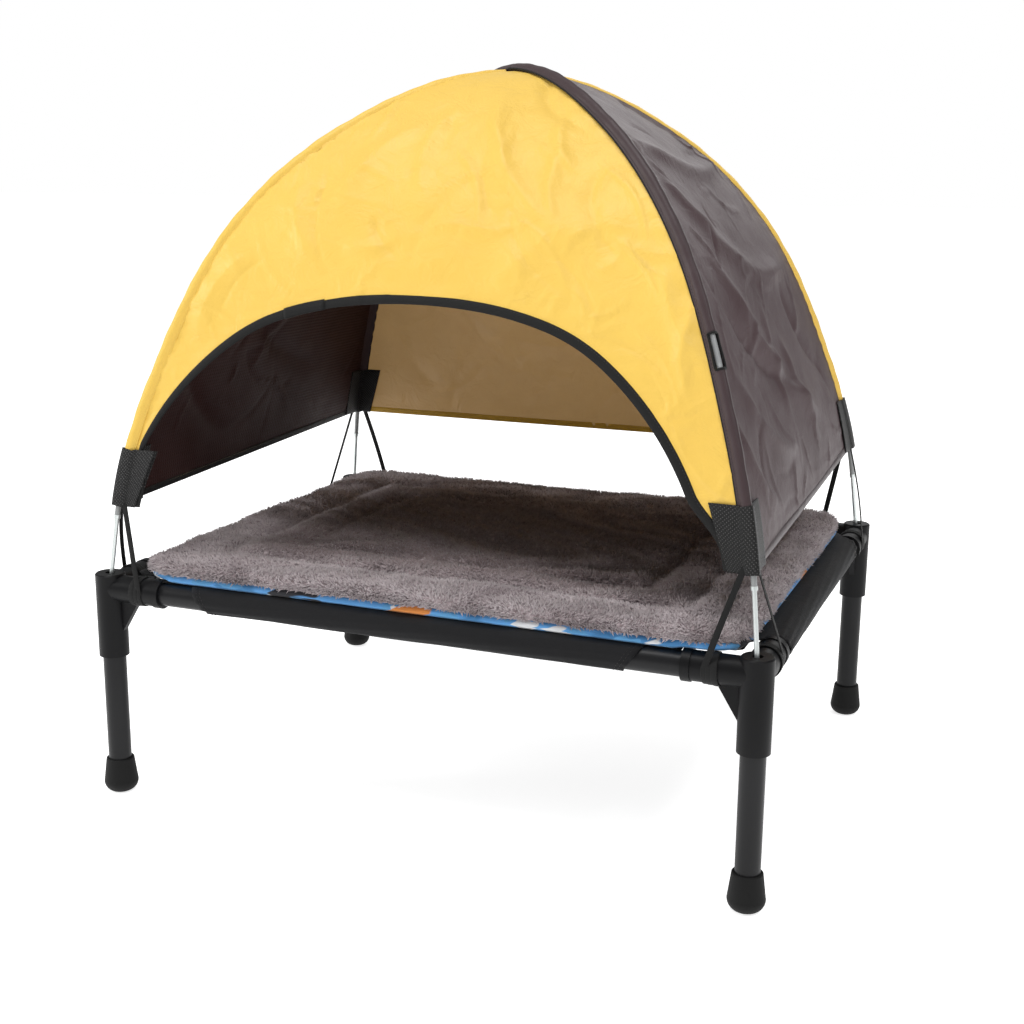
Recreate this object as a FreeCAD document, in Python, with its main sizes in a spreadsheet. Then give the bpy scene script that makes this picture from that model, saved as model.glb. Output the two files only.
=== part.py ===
import FreeCAD, Part
import Sketcher
import math
import os
from FreeCAD import Placement, Rotation, Vector

# A raised dog bed on a knock-down tube frame, with a loose mat and a four-panel canopy on two
# crossed bow poles. Millimetres, +Z up, front at -Y. The origin is on the floor under the middle
# of the bed.

os.makedirs("parts", exist_ok=True)
doc = FreeCAD.newDocument("dog_bed")

sizes = {
    # frame
    "bed_length": 728.0,          # pole socket to pole socket, left to right
    "bed_width": 576.0,           # pole socket to pole socket, front to back
    "deck_height": 258.0,         # floor to the top of the corner connectors
    "tube_dia": 25.4,
    "tube_wall": 1.2,
    "tube_fit": 0.1,              # radial clearance of a tube in its socket
    # corner connectors
    "barrel_dia": 33.0,
    "barrel_drop": 95.0,
    "barrel_chamfer": 1.4,
    "arm_dia": 30.0,
    "arm_drop": 17.0,             # connector top down to the arms' centre line
    "arm_reach": 71.0,
    "lip_dia": 32.4,
    "lip_width": 9.0,
    "gusset_reach": 46.0,
    "gusset_drop": 78.0,
    "gusset_thick": 7.0,
    "arm_socket": 48.0,
    "leg_socket": 65.0,
    "pole_socket": 26.0,
    "pole_socket_dia": 10.6,
    # feet
    "foot_dia": 38.0,
    "foot_neck_dia": 31.0,
    "foot_height": 40.0,
    "foot_belly": 12.0,           # height of the widest ring
    "foot_flat_dia": 20.0,
    "foot_floor": 6.0,
    "foot_rim": 1.0,              # bevel round the top of the cup
    # sling
    "sling_thick": 1.0,
    "sling_fit": 0.1,
    "sling_lip_gap": 0.4,           # cloth to the lips of the connectors
    "long_sleeve_setback": 116.0,   # corner to the end of the front and back sleeves
    "short_sleeve_setback": 76.0,   # corner to the end of the side sleeves
    # mat
    "mat_end_margin": 50.0,       # how much shorter the mat is than the bed
    "mat_side_margin": 24.0,      # how much narrower
    "mat_corner": 70.0,
    "mat_right": 13.0,            # how far the mat lies right of the middle
    "mat_forward": 20.0,          # how far it lies towards the front
    "mat_gap": 0.4,               # above the connector lips
    "cover_thick": 1.2,
    "filling_thick": 10.0,
    "plush_thick": 13.0,
    "plush_round": 6.0,
    # poles
    "crossing_height": 803.5,
    "pole_dia": 6.0,
    "pole_bore": 2.6,
    "pole_stack": 3.1,            # each pole's centre above or below the crossing
    "ferrule_wall": 0.7,
    "ferrule_length": 50.0,
    "tip_dia": 4.8,
    "tip_free": 66.0,             # straight steel between the bow and the socket's mouth
    "tip_collar_dia": 7.0,
    "tip_collar_length": 4.0,
    "tip_end_gap": 1.5,           # under the tip, in the bottom of the socket
    "cord_dia": 2.0,
    # canopy
    "panel_thick": 1.2,
    "hem_thick": 1.6,
    "hem_width": 8.0,
    "hem_front_height": 334.0,
    "hem_back_height": 358.0,
    "arch_foot_inset": 37.0,      # pole socket to the foot of the opening
    "arch_crown_height": 564.0,
    "sleeve_room": 0.5,           # radial room of a ferrule in the pole sleeve
    "sleeve_wall": 0.8,
    "sleeve_crown_gap": 30.0,     # crossing to the first stitch of a sleeve
    "slot_height": 534.0,         # middle of the slot that shows the pole
    "slot_length": 32.0,
    "tab_height": 62.0,
    "tab_front_reach": 39.5,      # from the corner, along the front or the back
    "tab_side_reach": 54.0,       # from the corner, along a side
    "tab_thick": 1.8,
    "elastic_width": 7.5,
    "elastic_thick": 1.0,
    "elastic_offset": 1.6,        # a band's face outside the pole's line, at the tab
    "elastic_clearance": 1.0,     # between a band and the pole sleeve
    "elastic_tuck": 1.0,          # how far a band runs up into the tab's stitching
    "wrap_fit": 0.05,             # between the elastic and the arm it goes round
    "wrap_width": 16.0,
    "wrap_setback": 33.0,         # corner to the middle of the elastic wrapped on an arm
    "cut_past": 1.0,              # how far a cutting shape runs past the face it opens
}

sheet = doc.addObject("Spreadsheet::Sheet", "Sizes")
for row, (name, value) in enumerate(sizes.items(), start=1):
    sheet.set(f"A{row}", name)
    sheet.set(f"B{row}", str(value))
    sheet.setAlias(f"B{row}", name)
doc.recompute()


def size(name):
    return float(sheet.get(name))


parts = {}


def keep(name, thing):
    thing.Label = name
    parts[name] = thing
    return thing


def bind(thing, **expressions):
    for prop, expression in expressions.items():
        thing.setExpression(prop.replace("__", "."), expression)
    return thing


def shape_part(name, shape, place=None):
    thing = doc.addObject("Part::Feature", name)
    thing.Shape = shape
    if place is not None:
        thing.Placement = place * shape.Placement
    return keep(name, thing)


def cylinder(name, radius, height, base=Vector(), axis=Vector(0, 0, 1)):
    thing = doc.addObject("Part::Cylinder", name)
    thing.Placement = Placement(base, Rotation(Vector(0, 0, 1), axis))
    return bind(thing, Radius=radius, Height=height)


def boolean(kind, name, *things):
    thing = doc.addObject(kind, name)
    if kind == "Part::MultiFuse":
        thing.Shapes = list(things)
        thing.Refine = True
    else:
        thing.Base, thing.Tool = things
    return thing


# Corners: name, sign of x, sign of y, and the turn that takes the front left connector there.
corners = [("fl", -1, -1, 0), ("fr", 1, -1, 90), ("br", 1, 1, 180), ("bl", -1, 1, 270)]


def at_corner(thing, sign_x, sign_y, turn=0.0, height="0"):
    thing.Placement = Placement(Vector(), Rotation(Vector(0, 0, 1), turn))
    bind(
        thing,
        Placement__Base__x=f"{sign_x} * Sizes.bed_length / 2",
        Placement__Base__y=f"{sign_y} * Sizes.bed_width / 2",
        Placement__Base__z=height,
    )


# Corner connectors: a barrel with a leg socket below and a pole socket above, and two arms.

def connector_arm(tag, axis):
    arm = cylinder(f"arm_{tag}", "Sizes.arm_dia / 2", "Sizes.arm_reach", axis=axis)
    lip = cylinder(f"lip_{tag}", "Sizes.lip_dia / 2", "Sizes.lip_width", axis=axis)
    for piece in (arm, lip):
        bind(piece, Placement__Base__z="Sizes.deck_height - Sizes.arm_drop")
    along = "x" if axis.x else "y"
    lip.setExpression(f"Placement.Base.{along}", "Sizes.arm_reach - Sizes.lip_width")
    web = doc.addObject("Part::Wedge", f"gusset_{tag}")
    bind(
        web,
        Xmax="Sizes.gusset_reach",
        X2max="Sizes.barrel_dia / 4",
        Ymax="Sizes.gusset_drop - Sizes.arm_drop",
        Zmax="Sizes.gusset_thick",
        Z2max="Sizes.gusset_thick",
    )
    web.Xmin = web.X2min = web.Ymin = web.Zmin = web.Z2min = 0
    web.Placement.Rotation = Rotation(Vector(1, 0, 0), -90)
    side = "y"
    shift = "-Sizes.gusset_thick / 2"
    if along == "y":
        web.Placement.Rotation = Rotation(Vector(0, 0, 1), 90) * web.Placement.Rotation
        side = "x"
        shift = "Sizes.gusset_thick / 2"
    web.setExpression(f"Placement.Base.{side}", shift)
    web.setExpression("Placement.Base.z", "Sizes.deck_height - Sizes.arm_drop")
    return [arm, lip, web]


def arm_socket(tag, axis):
    hole = cylinder(
        f"arm_socket_{tag}",
        "Sizes.tube_dia / 2 + Sizes.tube_fit",
        "Sizes.arm_socket + Sizes.cut_past",
        axis=axis,
    )
    along = "x" if axis.x else "y"
    hole.setExpression(f"Placement.Base.{along}", "Sizes.arm_reach - Sizes.arm_socket")
    hole.setExpression("Placement.Base.z", "Sizes.deck_height - Sizes.arm_drop")
    return hole


def connector(corner):
    barrel = cylinder(f"barrel_{corner}", "Sizes.barrel_dia / 2", "Sizes.barrel_drop")
    bind(barrel, Placement__Base__z="Sizes.deck_height - Sizes.barrel_drop")
    rim = doc.addObject("Part::Chamfer", f"barrel_rim_{corner}")
    rim.Base = barrel
    chamfer = size("barrel_chamfer")
    rim.Edges = [(1, chamfer, chamfer), (3, chamfer, chamfer)]
    solids = [rim]
    for tag, axis in (("x", Vector(1, 0, 0)), ("y", Vector(0, 1, 0))):
        solids += connector_arm(f"{tag}_{corner}", axis)
    body = boolean("Part::MultiFuse", f"connector_body_{corner}", *solids)
    leg_hole = cylinder(
        f"leg_socket_{corner}",
        "Sizes.tube_dia / 2 + Sizes.tube_fit",
        "Sizes.leg_socket + Sizes.cut_past",
    )
    bind(leg_hole, Placement__Base__z="Sizes.deck_height - Sizes.barrel_drop - Sizes.cut_past")
    pole_hole = cylinder(
        f"pole_socket_{corner}",
        "Sizes.pole_socket_dia / 2",
        "Sizes.pole_socket + Sizes.cut_past",
    )
    bind(pole_hole, Placement__Base__z="Sizes.deck_height - Sizes.pole_socket")
    holes = [leg_hole, pole_hole]
    for tag, axis in (("x", Vector(1, 0, 0)), ("y", Vector(0, 1, 0))):
        holes.append(arm_socket(f"{tag}_{corner}", axis))
    hollow = boolean("Part::MultiFuse", f"connector_sockets_{corner}", *holes)
    return boolean("Part::Cut", f"connector_{corner}", body, hollow)


for corner, sign_x, sign_y, turn in corners:
    at_corner(keep(f"connector_{corner}", connector(corner)), sign_x, sign_y, turn)


# Tubes: four legs and four rails, each a sketch of two circles padded to its length.

def plane_of(body, role):
    return next(item for item in body.Origin.OriginFeatures if item.Role == role)


def tube(name, role, length):
    body = doc.addObject("PartDesign::Body", name)
    sketch = body.newObject("Sketcher::SketchObject", f"{name}_ring")
    sketch.AttachmentSupport = [(plane_of(body, role), "")]
    sketch.MapMode = "FlatFace"
    for radius in (size("tube_dia") / 2, size("tube_dia") / 2 - size("tube_wall")):
        index = sketch.addGeometry(Part.Circle(Vector(), Vector(0, 0, 1), radius), False)
        sketch.addConstraint(Sketcher.Constraint("Coincident", index, 3, -1, 1))
        sketch.addConstraint(Sketcher.Constraint("Diameter", index, 2 * radius))
    sketch.setExpression("Constraints[1]", "Sizes.tube_dia")
    sketch.setExpression("Constraints[3]", "Sizes.tube_dia - 2 * Sizes.tube_wall")
    pad = body.newObject("PartDesign::Pad", f"{name}_length")
    pad.Profile = sketch
    pad.setExpression("Length", length)
    return keep(name, body)


leg_length = "Sizes.deck_height - Sizes.barrel_drop + Sizes.leg_socket - Sizes.foot_floor"
for corner, sign_x, sign_y, turn in corners:
    leg = tube(f"leg_{corner}", "XY_Plane", leg_length)
    at_corner(leg, sign_x, sign_y, 0, "Sizes.foot_floor")

rails = [
    ("rail_front", "YZ_Plane", "x", "bed_length", "y", "-Sizes.bed_width / 2"),
    ("rail_back", "YZ_Plane", "x", "bed_length", "y", "Sizes.bed_width / 2"),
    ("rail_left", "XZ_Plane", "y", "bed_width", "x", "-Sizes.bed_length / 2"),
    ("rail_right", "XZ_Plane", "y", "bed_width", "x", "Sizes.bed_length / 2"),
]
arm_floor = "(Sizes.arm_reach - Sizes.arm_socket)"
for name, role, along, span, across, offset in rails:
    rail = tube(name, role, f"Sizes.{span} - 2 * {arm_floor}")
    start = f"-Sizes.{span} / 2 + {arm_floor}"
    if along == "y":
        start = f"Sizes.{span} / 2 - {arm_floor}"     # this plane's normal points to -Y
    rail.setExpression(f"Placement.Base.{along}", start)
    rail.setExpression(f"Placement.Base.{across}", offset)
    rail.setExpression("Placement.Base.z", "Sizes.deck_height - Sizes.arm_drop")


# Feet: rubber cups with a belly near the floor and a flat sole, pushed on to the legs.

def foot(name):
    bore = size("tube_dia") / 2
    neck = size("foot_neck_dia") / 2
    belly = size("foot_dia") / 2
    flat = size("foot_flat_dia") / 2
    top = size("foot_height")
    belly_height = size("foot_belly")
    floor = size("foot_floor")
    rim = size("foot_rim")
    side_step = belly - flat
    bulge = (side_step ** 2 + belly_height ** 2) / (2 * side_step)   # arc upright at the belly
    half_turn = math.asin(belly_height / bulge) / 2
    if side_step > bulge:
        half_turn = math.pi / 2 - half_turn
    mid = Vector(
        belly - bulge + bulge * math.cos(half_turn),
        0,
        belly_height - bulge * math.sin(half_turn),
    )
    outline = [
        Part.makeLine(Vector(0, 0, 0), Vector(flat, 0, 0)),
        Part.Arc(Vector(flat, 0, 0), mid, Vector(belly, 0, belly_height)).toShape(),
        Part.makeLine(Vector(belly, 0, belly_height), Vector(neck, 0, top - rim)),
        Part.makeLine(Vector(neck, 0, top - rim), Vector(neck - rim, 0, top)),
        Part.makeLine(Vector(neck - rim, 0, top), Vector(bore, 0, top)),
        Part.makeLine(Vector(bore, 0, top), Vector(bore, 0, floor)),
        Part.makeLine(Vector(bore, 0, floor), Vector(0, 0, floor)),
        Part.makeLine(Vector(0, 0, floor), Vector(0, 0, 0)),
    ]
    face = Part.Face(Part.Wire(outline))
    return shape_part(name, face.revolve(Vector(), Vector(0, 0, 1), 360))


for corner, sign_x, sign_y, turn in corners:
    at_corner(foot(f"foot_{corner}"), sign_x, sign_y)


# Sling: a taut sheet at the top of the rails, turned round each rail as a stitched sleeve.

half_length = size("bed_length") / 2
half_width = size("bed_width") / 2
rail_height = size("deck_height") - size("arm_drop")
sleeve_bore = size("tube_dia") / 2 + size("sling_fit")
sleeve_skin = sleeve_bore + size("sling_thick")
sling_top = rail_height + sleeve_skin


def rail_sleeve(start, end):
    run = end - start
    outer = Part.makeCylinder(sleeve_skin, run.Length, start, run)
    return outer.cut(Part.makeCylinder(sleeve_bore, run.Length, start, run))


def sling():
    x_end = half_length - size("long_sleeve_setback")
    y_end = half_width - size("short_sleeve_setback")
    corners_of_sheet = [
        Vector(-x_end, -half_width), Vector(x_end, -half_width),
        Vector(half_length, -y_end), Vector(half_length, y_end),
        Vector(x_end, half_width), Vector(-x_end, half_width),
        Vector(-half_length, y_end), Vector(-half_length, -y_end),
    ]
    outline = [point + Vector(0, 0, rail_height + sleeve_bore) for point in corners_of_sheet]
    top = Part.Face(Part.makePolygon(outline + outline[:1]))
    solid = top.extrude(Vector(0, 0, size("sling_thick")))
    sleeves = []
    for side in (-1, 1):
        sleeves.append(rail_sleeve(
            Vector(-x_end, side * half_width, rail_height),
            Vector(x_end, side * half_width, rail_height),
        ))
        sleeves.append(rail_sleeve(
            Vector(side * half_length, -y_end, rail_height),
            Vector(side * half_length, y_end, rail_height),
        ))
    solid = solid.fuse(sleeves)
    for side in (-1, 1):                                # the bores stay open under the sheet
        for start, end in (
            (Vector(-x_end, side * half_width, rail_height),
             Vector(x_end, side * half_width, rail_height)),
            (Vector(side * half_length, -y_end, rail_height),
             Vector(side * half_length, y_end, rail_height)),
        ):
            run = end - start
            solid = solid.cut(Part.makeCylinder(sleeve_bore, run.Length, start, run))
    notch_radius = size("lip_dia") / 2 + size("sling_lip_gap")
    notch_length = size("arm_reach") + size("sling_lip_gap")
    for sign_x in (-1, 1):                              # the corners stay clear of the lips
        for sign_y in (-1, 1):
            corner = Vector(sign_x * half_length, sign_y * half_width, rail_height)
            for towards in (Vector(-sign_x, 0, 0), Vector(0, -sign_y, 0)):
                solid = solid.cut(Part.makeCylinder(notch_radius, notch_length, corner, towards))
    return solid.removeSplitter()


shape_part("bed_sling", sling())


# Mat: a printed underside, a filling and a plush top with a rounded rim.

def mat_layer(low, high, rim=0.0):
    length = size("bed_length") - size("mat_end_margin")
    width = size("bed_width") - size("mat_side_margin")
    start = Vector(
        size("mat_right") - length / 2,
        -size("mat_forward") - width / 2,
        low,
    )
    slab = Part.makeBox(length, width, high - low, start)
    upright = [
        edge for edge in slab.Edges
        if abs(edge.Vertexes[0].Z - edge.Vertexes[1].Z) > (high - low) / 2
    ]
    slab = slab.makeFillet(size("mat_corner"), upright)
    if rim:
        ring = [edge for edge in slab.Edges if edge.BoundBox.ZMin > high - 1e-3]
        slab = slab.makeFillet(rim, ring)
    return slab


mat_low = size("deck_height") - size("arm_drop") + size("lip_dia") / 2 + size("mat_gap")
filling_low = mat_low + size("cover_thick")
plush_low = filling_low + size("filling_thick")
mat_top = plush_low + size("plush_thick")
shape_part("mat_underside", mat_layer(mat_low, filling_low))
shape_part("mat_filling", mat_layer(filling_low, plush_low))
shape_part("mat_plush", mat_layer(plush_low, mat_top, size("plush_round")))


# Bows. A bow starts level at its crown and runs out and down as equal arcs that meet tangent.
# Each arc turns its own share of the whole turn; the arc length and the whole turn follow from
# the half span and the rise. It is drawn in the XZ plane, outwards along +X.

pole_shares = [14, 11, 6, 9, 9, 10, 6, 2, 6, 9]
arch_shares = [6, 9, 17, 11, 12, 14]


def bow_walk(shares, turn, length):
    arcs = []
    point = Vector()
    angle = 0.0
    for share in shares:
        after = angle + turn * share / sum(shares)
        arc = {"start": point, "from": angle, "to": after, "length": length}
        arcs.append(arc)
        point = bow_point(arc, length)
        angle = after
    return arcs, point


def bow_point(arc, distance):
    bend = (arc["to"] - arc["from"]) / arc["length"]
    angle = arc["from"] + bend * distance
    if abs(bend) < 1e-9:
        step = Vector(math.cos(angle), 0, -math.sin(angle)) * distance
    else:
        step = Vector(
            (math.sin(angle) - math.sin(arc["from"])) / bend,
            0,
            (math.cos(angle) - math.cos(arc["from"])) / bend,
        )
    return arc["start"] + step


bisections = 60
least_turn, most_turn = math.radians(20), math.radians(110)


def bow(shares, half_span, rise, crown, straight=0.0):
    low, high = least_turn, most_turn
    for step in range(bisections):
        turn = (low + high) / 2
        arcs, end = bow_walk(shares, turn, 1.0)
        length = (half_span - straight * math.cos(turn)) / end.x
        drop = -end.z * length + straight * math.sin(turn)
        if drop < rise:
            low = turn
        else:
            high = turn
    arcs, end = bow_walk(shares, turn, length)
    for arc in arcs:
        arc["start"] = arc["start"] + Vector(0, 0, crown)
    return arcs


def bow_length(arcs):
    return sum(arc["length"] for arc in arcs)


# The arcs between two distances from the crown.
def stretch(arcs, start, end):
    pieces = []
    passed = 0.0
    for arc in arcs:
        first = max(start - passed, 0.0)
        last = min(end - passed, arc["length"])
        if last - first > 1e-6:
            bend = (arc["to"] - arc["from"]) / arc["length"]
            pieces.append({
                "start": bow_point(arc, first),
                "from": arc["from"] + bend * first,
                "to": arc["from"] + bend * last,
                "length": last - first,
            })
        passed += arc["length"]
    return pieces


# How far along the bow its line comes down to a height.
def distance_at(arcs, height):
    low, high = 0.0, bow_length(arcs)
    for step in range(bisections):
        middle = (low + high) / 2
        piece = stretch(arcs, 0.0, middle)[-1]
        if bow_point(piece, piece["length"]).z > height:
            low = middle
        else:
            high = middle
    return low


def ring_face(centre, direction, radius, bore):
    outer = Part.Wire(Part.makeCircle(radius, centre, direction))
    if not bore:
        return Part.Face(outer)
    inner = Part.Wire(Part.makeCircle(bore, centre, direction))
    return Part.makeFace([outer, inner], "Part::FaceMakerBullseye")


# A round rod, or a tube, along the arcs of a bow.
def rod(pieces, radius, bore=0.0):
    solids = []
    for arc in pieces:
        forward = Vector(math.cos(arc["from"]), 0, -math.sin(arc["from"]))
        inward = Vector(-math.sin(arc["from"]), 0, -math.cos(arc["from"]))
        face = ring_face(arc["start"], forward, radius, bore)
        turn = arc["to"] - arc["from"]
        if abs(turn) < 1e-7:
            solids.append(face.extrude(forward * arc["length"]))
        else:
            centre = arc["start"] + inward * (arc["length"] / turn)
            solids.append(face.revolve(centre, Vector(0, 1, 0), math.degrees(turn)))
    if len(solids) == 1:
        return solids[0]
    return solids[0].fuse(solids[1:]).removeSplitter()


def half_turned(shape):
    return shape.rotated(Vector(), Vector(0, 0, 1), 180)


# The poles' tips stand in the sockets, and lean there. Half way down a socket they are central.
socket_reach = math.hypot(half_length, half_width)
diagonal = math.degrees(math.atan2(half_width, half_length))
socket_mid = size("deck_height") - size("pole_socket") / 2
tip_straight = size("tip_free") + size("pole_socket") / 2


def pole_bow(crown):
    return bow(pole_shares, socket_reach, crown - socket_mid, crown, tip_straight)


crown_height = size("crossing_height")
bows = {
    "a": pole_bow(crown_height - size("pole_stack")),   # front left to back right, underneath
    "b": pole_bow(crown_height + size("pole_stack")),   # front right to back left, on top
}
vault = pole_bow(crown_height)                          # the seams' mean line
pole_turn = {"a": diagonal, "b": -diagonal}
pole_of = {"fl": "a", "br": "a", "fr": "b", "bl": "b"}
seam_turn = {"br": diagonal, "bl": 180 - diagonal, "fl": 180 + diagonal, "fr": -diagonal}
pole_radius = size("pole_dia") / 2
ferrule_radius = pole_radius + size("ferrule_wall")
arcs_to_centre_joint = 2        # half of the centre section
arcs_per_section = 4


def around_z(turn):
    return Placement(Vector(), Rotation(Vector(0, 0, 1), turn))


def tip(arcs):
    end = arcs[-1]
    top = bow_point(end, end["length"])
    lean = Vector(math.cos(end["to"]), 0, -math.sin(end["to"]))
    down = (top.z - size("deck_height") + size("pole_socket") - size("tip_end_gap")) / -lean.z
    shank = Part.makeCylinder(size("tip_dia") / 2, down, top, lean)
    collar = Part.makeCylinder(
        size("tip_collar_dia") / 2, size("tip_collar_length"), top, lean
    )
    return shank.fuse(collar).removeSplitter()


for pole, arcs in bows.items():
    arc_length = arcs[0]["length"]
    bore = size("pole_bore") / 2
    middle = arcs_to_centre_joint * arc_length
    outer_end = middle + arcs_per_section * arc_length
    place = around_z(pole_turn[pole])
    centre_half = rod(stretch(arcs, 0, middle), pole_radius, bore)
    sections = [
        half_turned(rod(stretch(arcs, outer_end, bow_length(arcs)), pole_radius, bore)),
        half_turned(rod(stretch(arcs, middle, outer_end), pole_radius, bore)),
        centre_half.fuse(half_turned(centre_half)).removeSplitter(),
        rod(stretch(arcs, middle, outer_end), pole_radius, bore),
        rod(stretch(arcs, outer_end, bow_length(arcs)), pole_radius, bore),
    ]
    for number, section in enumerate(sections, start=1):
        shape_part(f"pole_{pole}_section_{number}", section, place)
    sleeves = []
    for joint in (middle, outer_end):
        grip = size("ferrule_length") / 2
        collar = rod(stretch(arcs, joint - grip, joint + grip), ferrule_radius, pole_radius)
        sleeves += [collar, half_turned(collar)]
    shape_part(f"pole_{pole}_ferrules", Part.makeCompound(sleeves), place)
    cord_half = rod(stretch(arcs, 0, bow_length(arcs)), size("cord_dia") / 2)
    cord = cord_half.fuse(half_turned(cord_half)).removeSplitter()
    shape_part(f"pole_{pole}_shock_cord", cord, place)

for corner, turn in seam_turn.items():
    shape_part(f"tip_{corner}", tip(bows[pole_of[corner]]), around_z(turn))


# Canopy skin. Every level line of a panel is straight, so a panel is a profile drawn out
# sideways and cut off at the seams. The profile is the bow seen square on to that panel.

sides = {
    "front": (Vector(0, -1, 0), half_width / socket_reach),
    "back": (Vector(0, 1, 0), half_width / socket_reach),
    "left": (Vector(-1, 0, 0), half_length / socket_reach),
    "right": (Vector(1, 0, 0), half_length / socket_reach),
}
samples_per_arc = 3
far = 600.0


def profile_points(share, offset):
    points = []
    for number, arc in enumerate(vault):
        steps = samples_per_arc + (number == len(vault) - 1)
        for step in range(steps):
            distance = arc["length"] * step / samples_per_arc
            angle = arc["from"] + (arc["to"] - arc["from"]) * distance / arc["length"]
            place = bow_point(arc, distance)
            normal = Vector(math.sin(angle), share * math.cos(angle), 0)
            normal.normalize()
            points.append((place.x * share + normal.x * offset, place.z + normal.y * offset))
    points[0] = (0.0, points[0][1])
    return points


def spline(points, outward):
    curve = Part.BSplineCurve()
    curve.interpolate([outward * reach + Vector(0, 0, height) for reach, height in points])
    return curve.toShape()


# A panel's shell between two offsets from the seams' line, before any opening.
def skin(side, inner, outer):
    outward, share = sides[side]
    inside = profile_points(share, inner)
    outside = profile_points(share, outer)
    edges = [spline(inside, outward), spline(outside, outward)]
    for first, second in ((inside[0], outside[0]), (inside[-1], outside[-1])):
        edges.append(Part.makeLine(
            outward * first[0] + Vector(0, 0, first[1]),
            outward * second[0] + Vector(0, 0, second[1]),
        ))
    face = Part.Face(Part.Wire(Part.__sortEdges__(edges)))
    sideways = outward.cross(Vector(0, 0, 1))
    slab = face.translated(sideways * -far).extrude(sideways * 2 * far)
    reach = Vector(half_length, half_width, 0) * (far / half_length)
    if outward.x:
        ends = [Vector(outward.x * reach.x, -reach.y, 0), Vector(outward.x * reach.x, reach.y, 0)]
    else:
        ends = [Vector(-reach.x, outward.y * reach.y, 0), Vector(reach.x, outward.y * reach.y, 0)]
    wedge = Part.Face(Part.makePolygon([Vector(), *ends, Vector()]))
    return slab.common(wedge.extrude(Vector(0, 0, 2 * far)))


hem_slope = (size("hem_back_height") - size("hem_front_height")) / size("bed_width")
hem_middle = (size("hem_back_height") + size("hem_front_height")) / 2


# Everything above the slanting lower edge of the canopy, raised by a distance.
def above_hem(rise=0.0):
    middle = hem_middle + rise
    corners_of_side = [
        Vector(-far, -far, middle - hem_slope * far), Vector(-far, far, middle + hem_slope * far),
        Vector(-far, far, 2 * far), Vector(-far, -far, 2 * far),
    ]
    face = Part.Face(Part.makePolygon(corners_of_side + corners_of_side[:1]))
    return face.extrude(Vector(2 * far, 0, 0))


sleeve_bore_radius = ferrule_radius + size("sleeve_room")
sleeve_radius = sleeve_bore_radius + size("sleeve_wall")


def seam_bar(corner, radius, bore=0.0, start=0.0, end=None):
    arcs = bows[pole_of[corner]]
    end = bow_length(arcs) if end is None else end
    bar = rod(stretch(arcs, start, end), radius, bore)
    return bar.rotated(Vector(), Vector(0, 0, 1), seam_turn[corner])


seam_bars = {corner: seam_bar(corner, sleeve_radius) for corner in seam_turn}


def clear_of_poles(shape):
    return shape.cut(list(seam_bars.values()))


# The front opening's outline, drawn through the front panel.
def arch(margin):
    hem_front = size("hem_front_height")
    rise = size("arch_crown_height") - hem_front + margin
    half = half_length - size("arch_foot_inset") + margin
    arcs = bow(arch_shares, half, rise, size("arch_crown_height") + margin)
    edges = []
    for arc in arcs:
        points = [bow_point(arc, arc["length"] * part) for part in (0, 0.5, 1)]
        edges.append(Part.Arc(*points).toShape())
        edges.append(Part.Arc(*[Vector(-point.x, 0, point.z) for point in points]).toShape())
    edges.append(Part.makeLine(Vector(-half, 0, hem_front), Vector(-half, 0, hem_front - far / 4)))
    edges.append(Part.makeLine(Vector(half, 0, hem_front), Vector(half, 0, hem_front - far / 4)))
    edges.append(Part.makeLine(
        Vector(-half, 0, hem_front - far / 4), Vector(half, 0, hem_front - far / 4)
    ))
    face = Part.Face(Part.Wire(Part.__sortEdges__(edges)))
    return face.extrude(Vector(0, -far, 0))


panel_half = size("panel_thick") / 2
hem_half = size("hem_thick") / 2
hem_width = size("hem_width")
for side in sides:
    thin = clear_of_poles(skin(side, -panel_half, panel_half))
    if side == "front":
        shape_part("canopy_front", thin.common(above_hem()).cut(arch(hem_width)))
    else:
        shape_part(f"canopy_{side}", thin.common(above_hem(hem_width)))
    thick = clear_of_poles(skin(side, -hem_half, hem_half))
    if side == "front":
        band = thick.common(above_hem()).common(arch(hem_width)).cut(arch(0.0))
        shape_part("arch_binding", band)
    else:
        shape_part(f"hem_{side}", thick.common(above_hem()).cut(above_hem(hem_width)))


# Pole sleeves on the four seams, each with a slot where the pole shows.

def tab_span(corner):
    sign = 1 if corner[0] == "b" else -1
    low = hem_middle + sign * hem_slope * half_width
    return low, low + size("tab_height")


def pole_sleeve(corner):
    arcs = bows[pole_of[corner]]
    end = distance_at(arcs, tab_span(corner)[1])
    tube_along = rod(
        stretch(arcs, size("sleeve_crown_gap"), end), sleeve_radius, sleeve_bore_radius
    )
    piece = stretch(arcs, 0.0, distance_at(arcs, size("slot_height")))[-1]
    window = Part.makeBox(
        size("slot_length"), 4 * sleeve_radius, 2 * sleeve_radius,
        Vector(-size("slot_length") / 2, -2 * sleeve_radius, 0.0),
    )
    window = window.rotated(Vector(), Vector(0, 1, 0), math.degrees(piece["to"]))
    window = window.translated(bow_point(piece, piece["length"]))
    return tube_along.cut(window).rotated(Vector(), Vector(0, 0, 1), seam_turn[corner])


for corner in seam_turn:
    shape_part(f"pole_sleeve_{corner}", pole_sleeve(corner))


# Webbing tabs: a strap round the foot of each seam, with a pocket for the pole at its fold.

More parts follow.
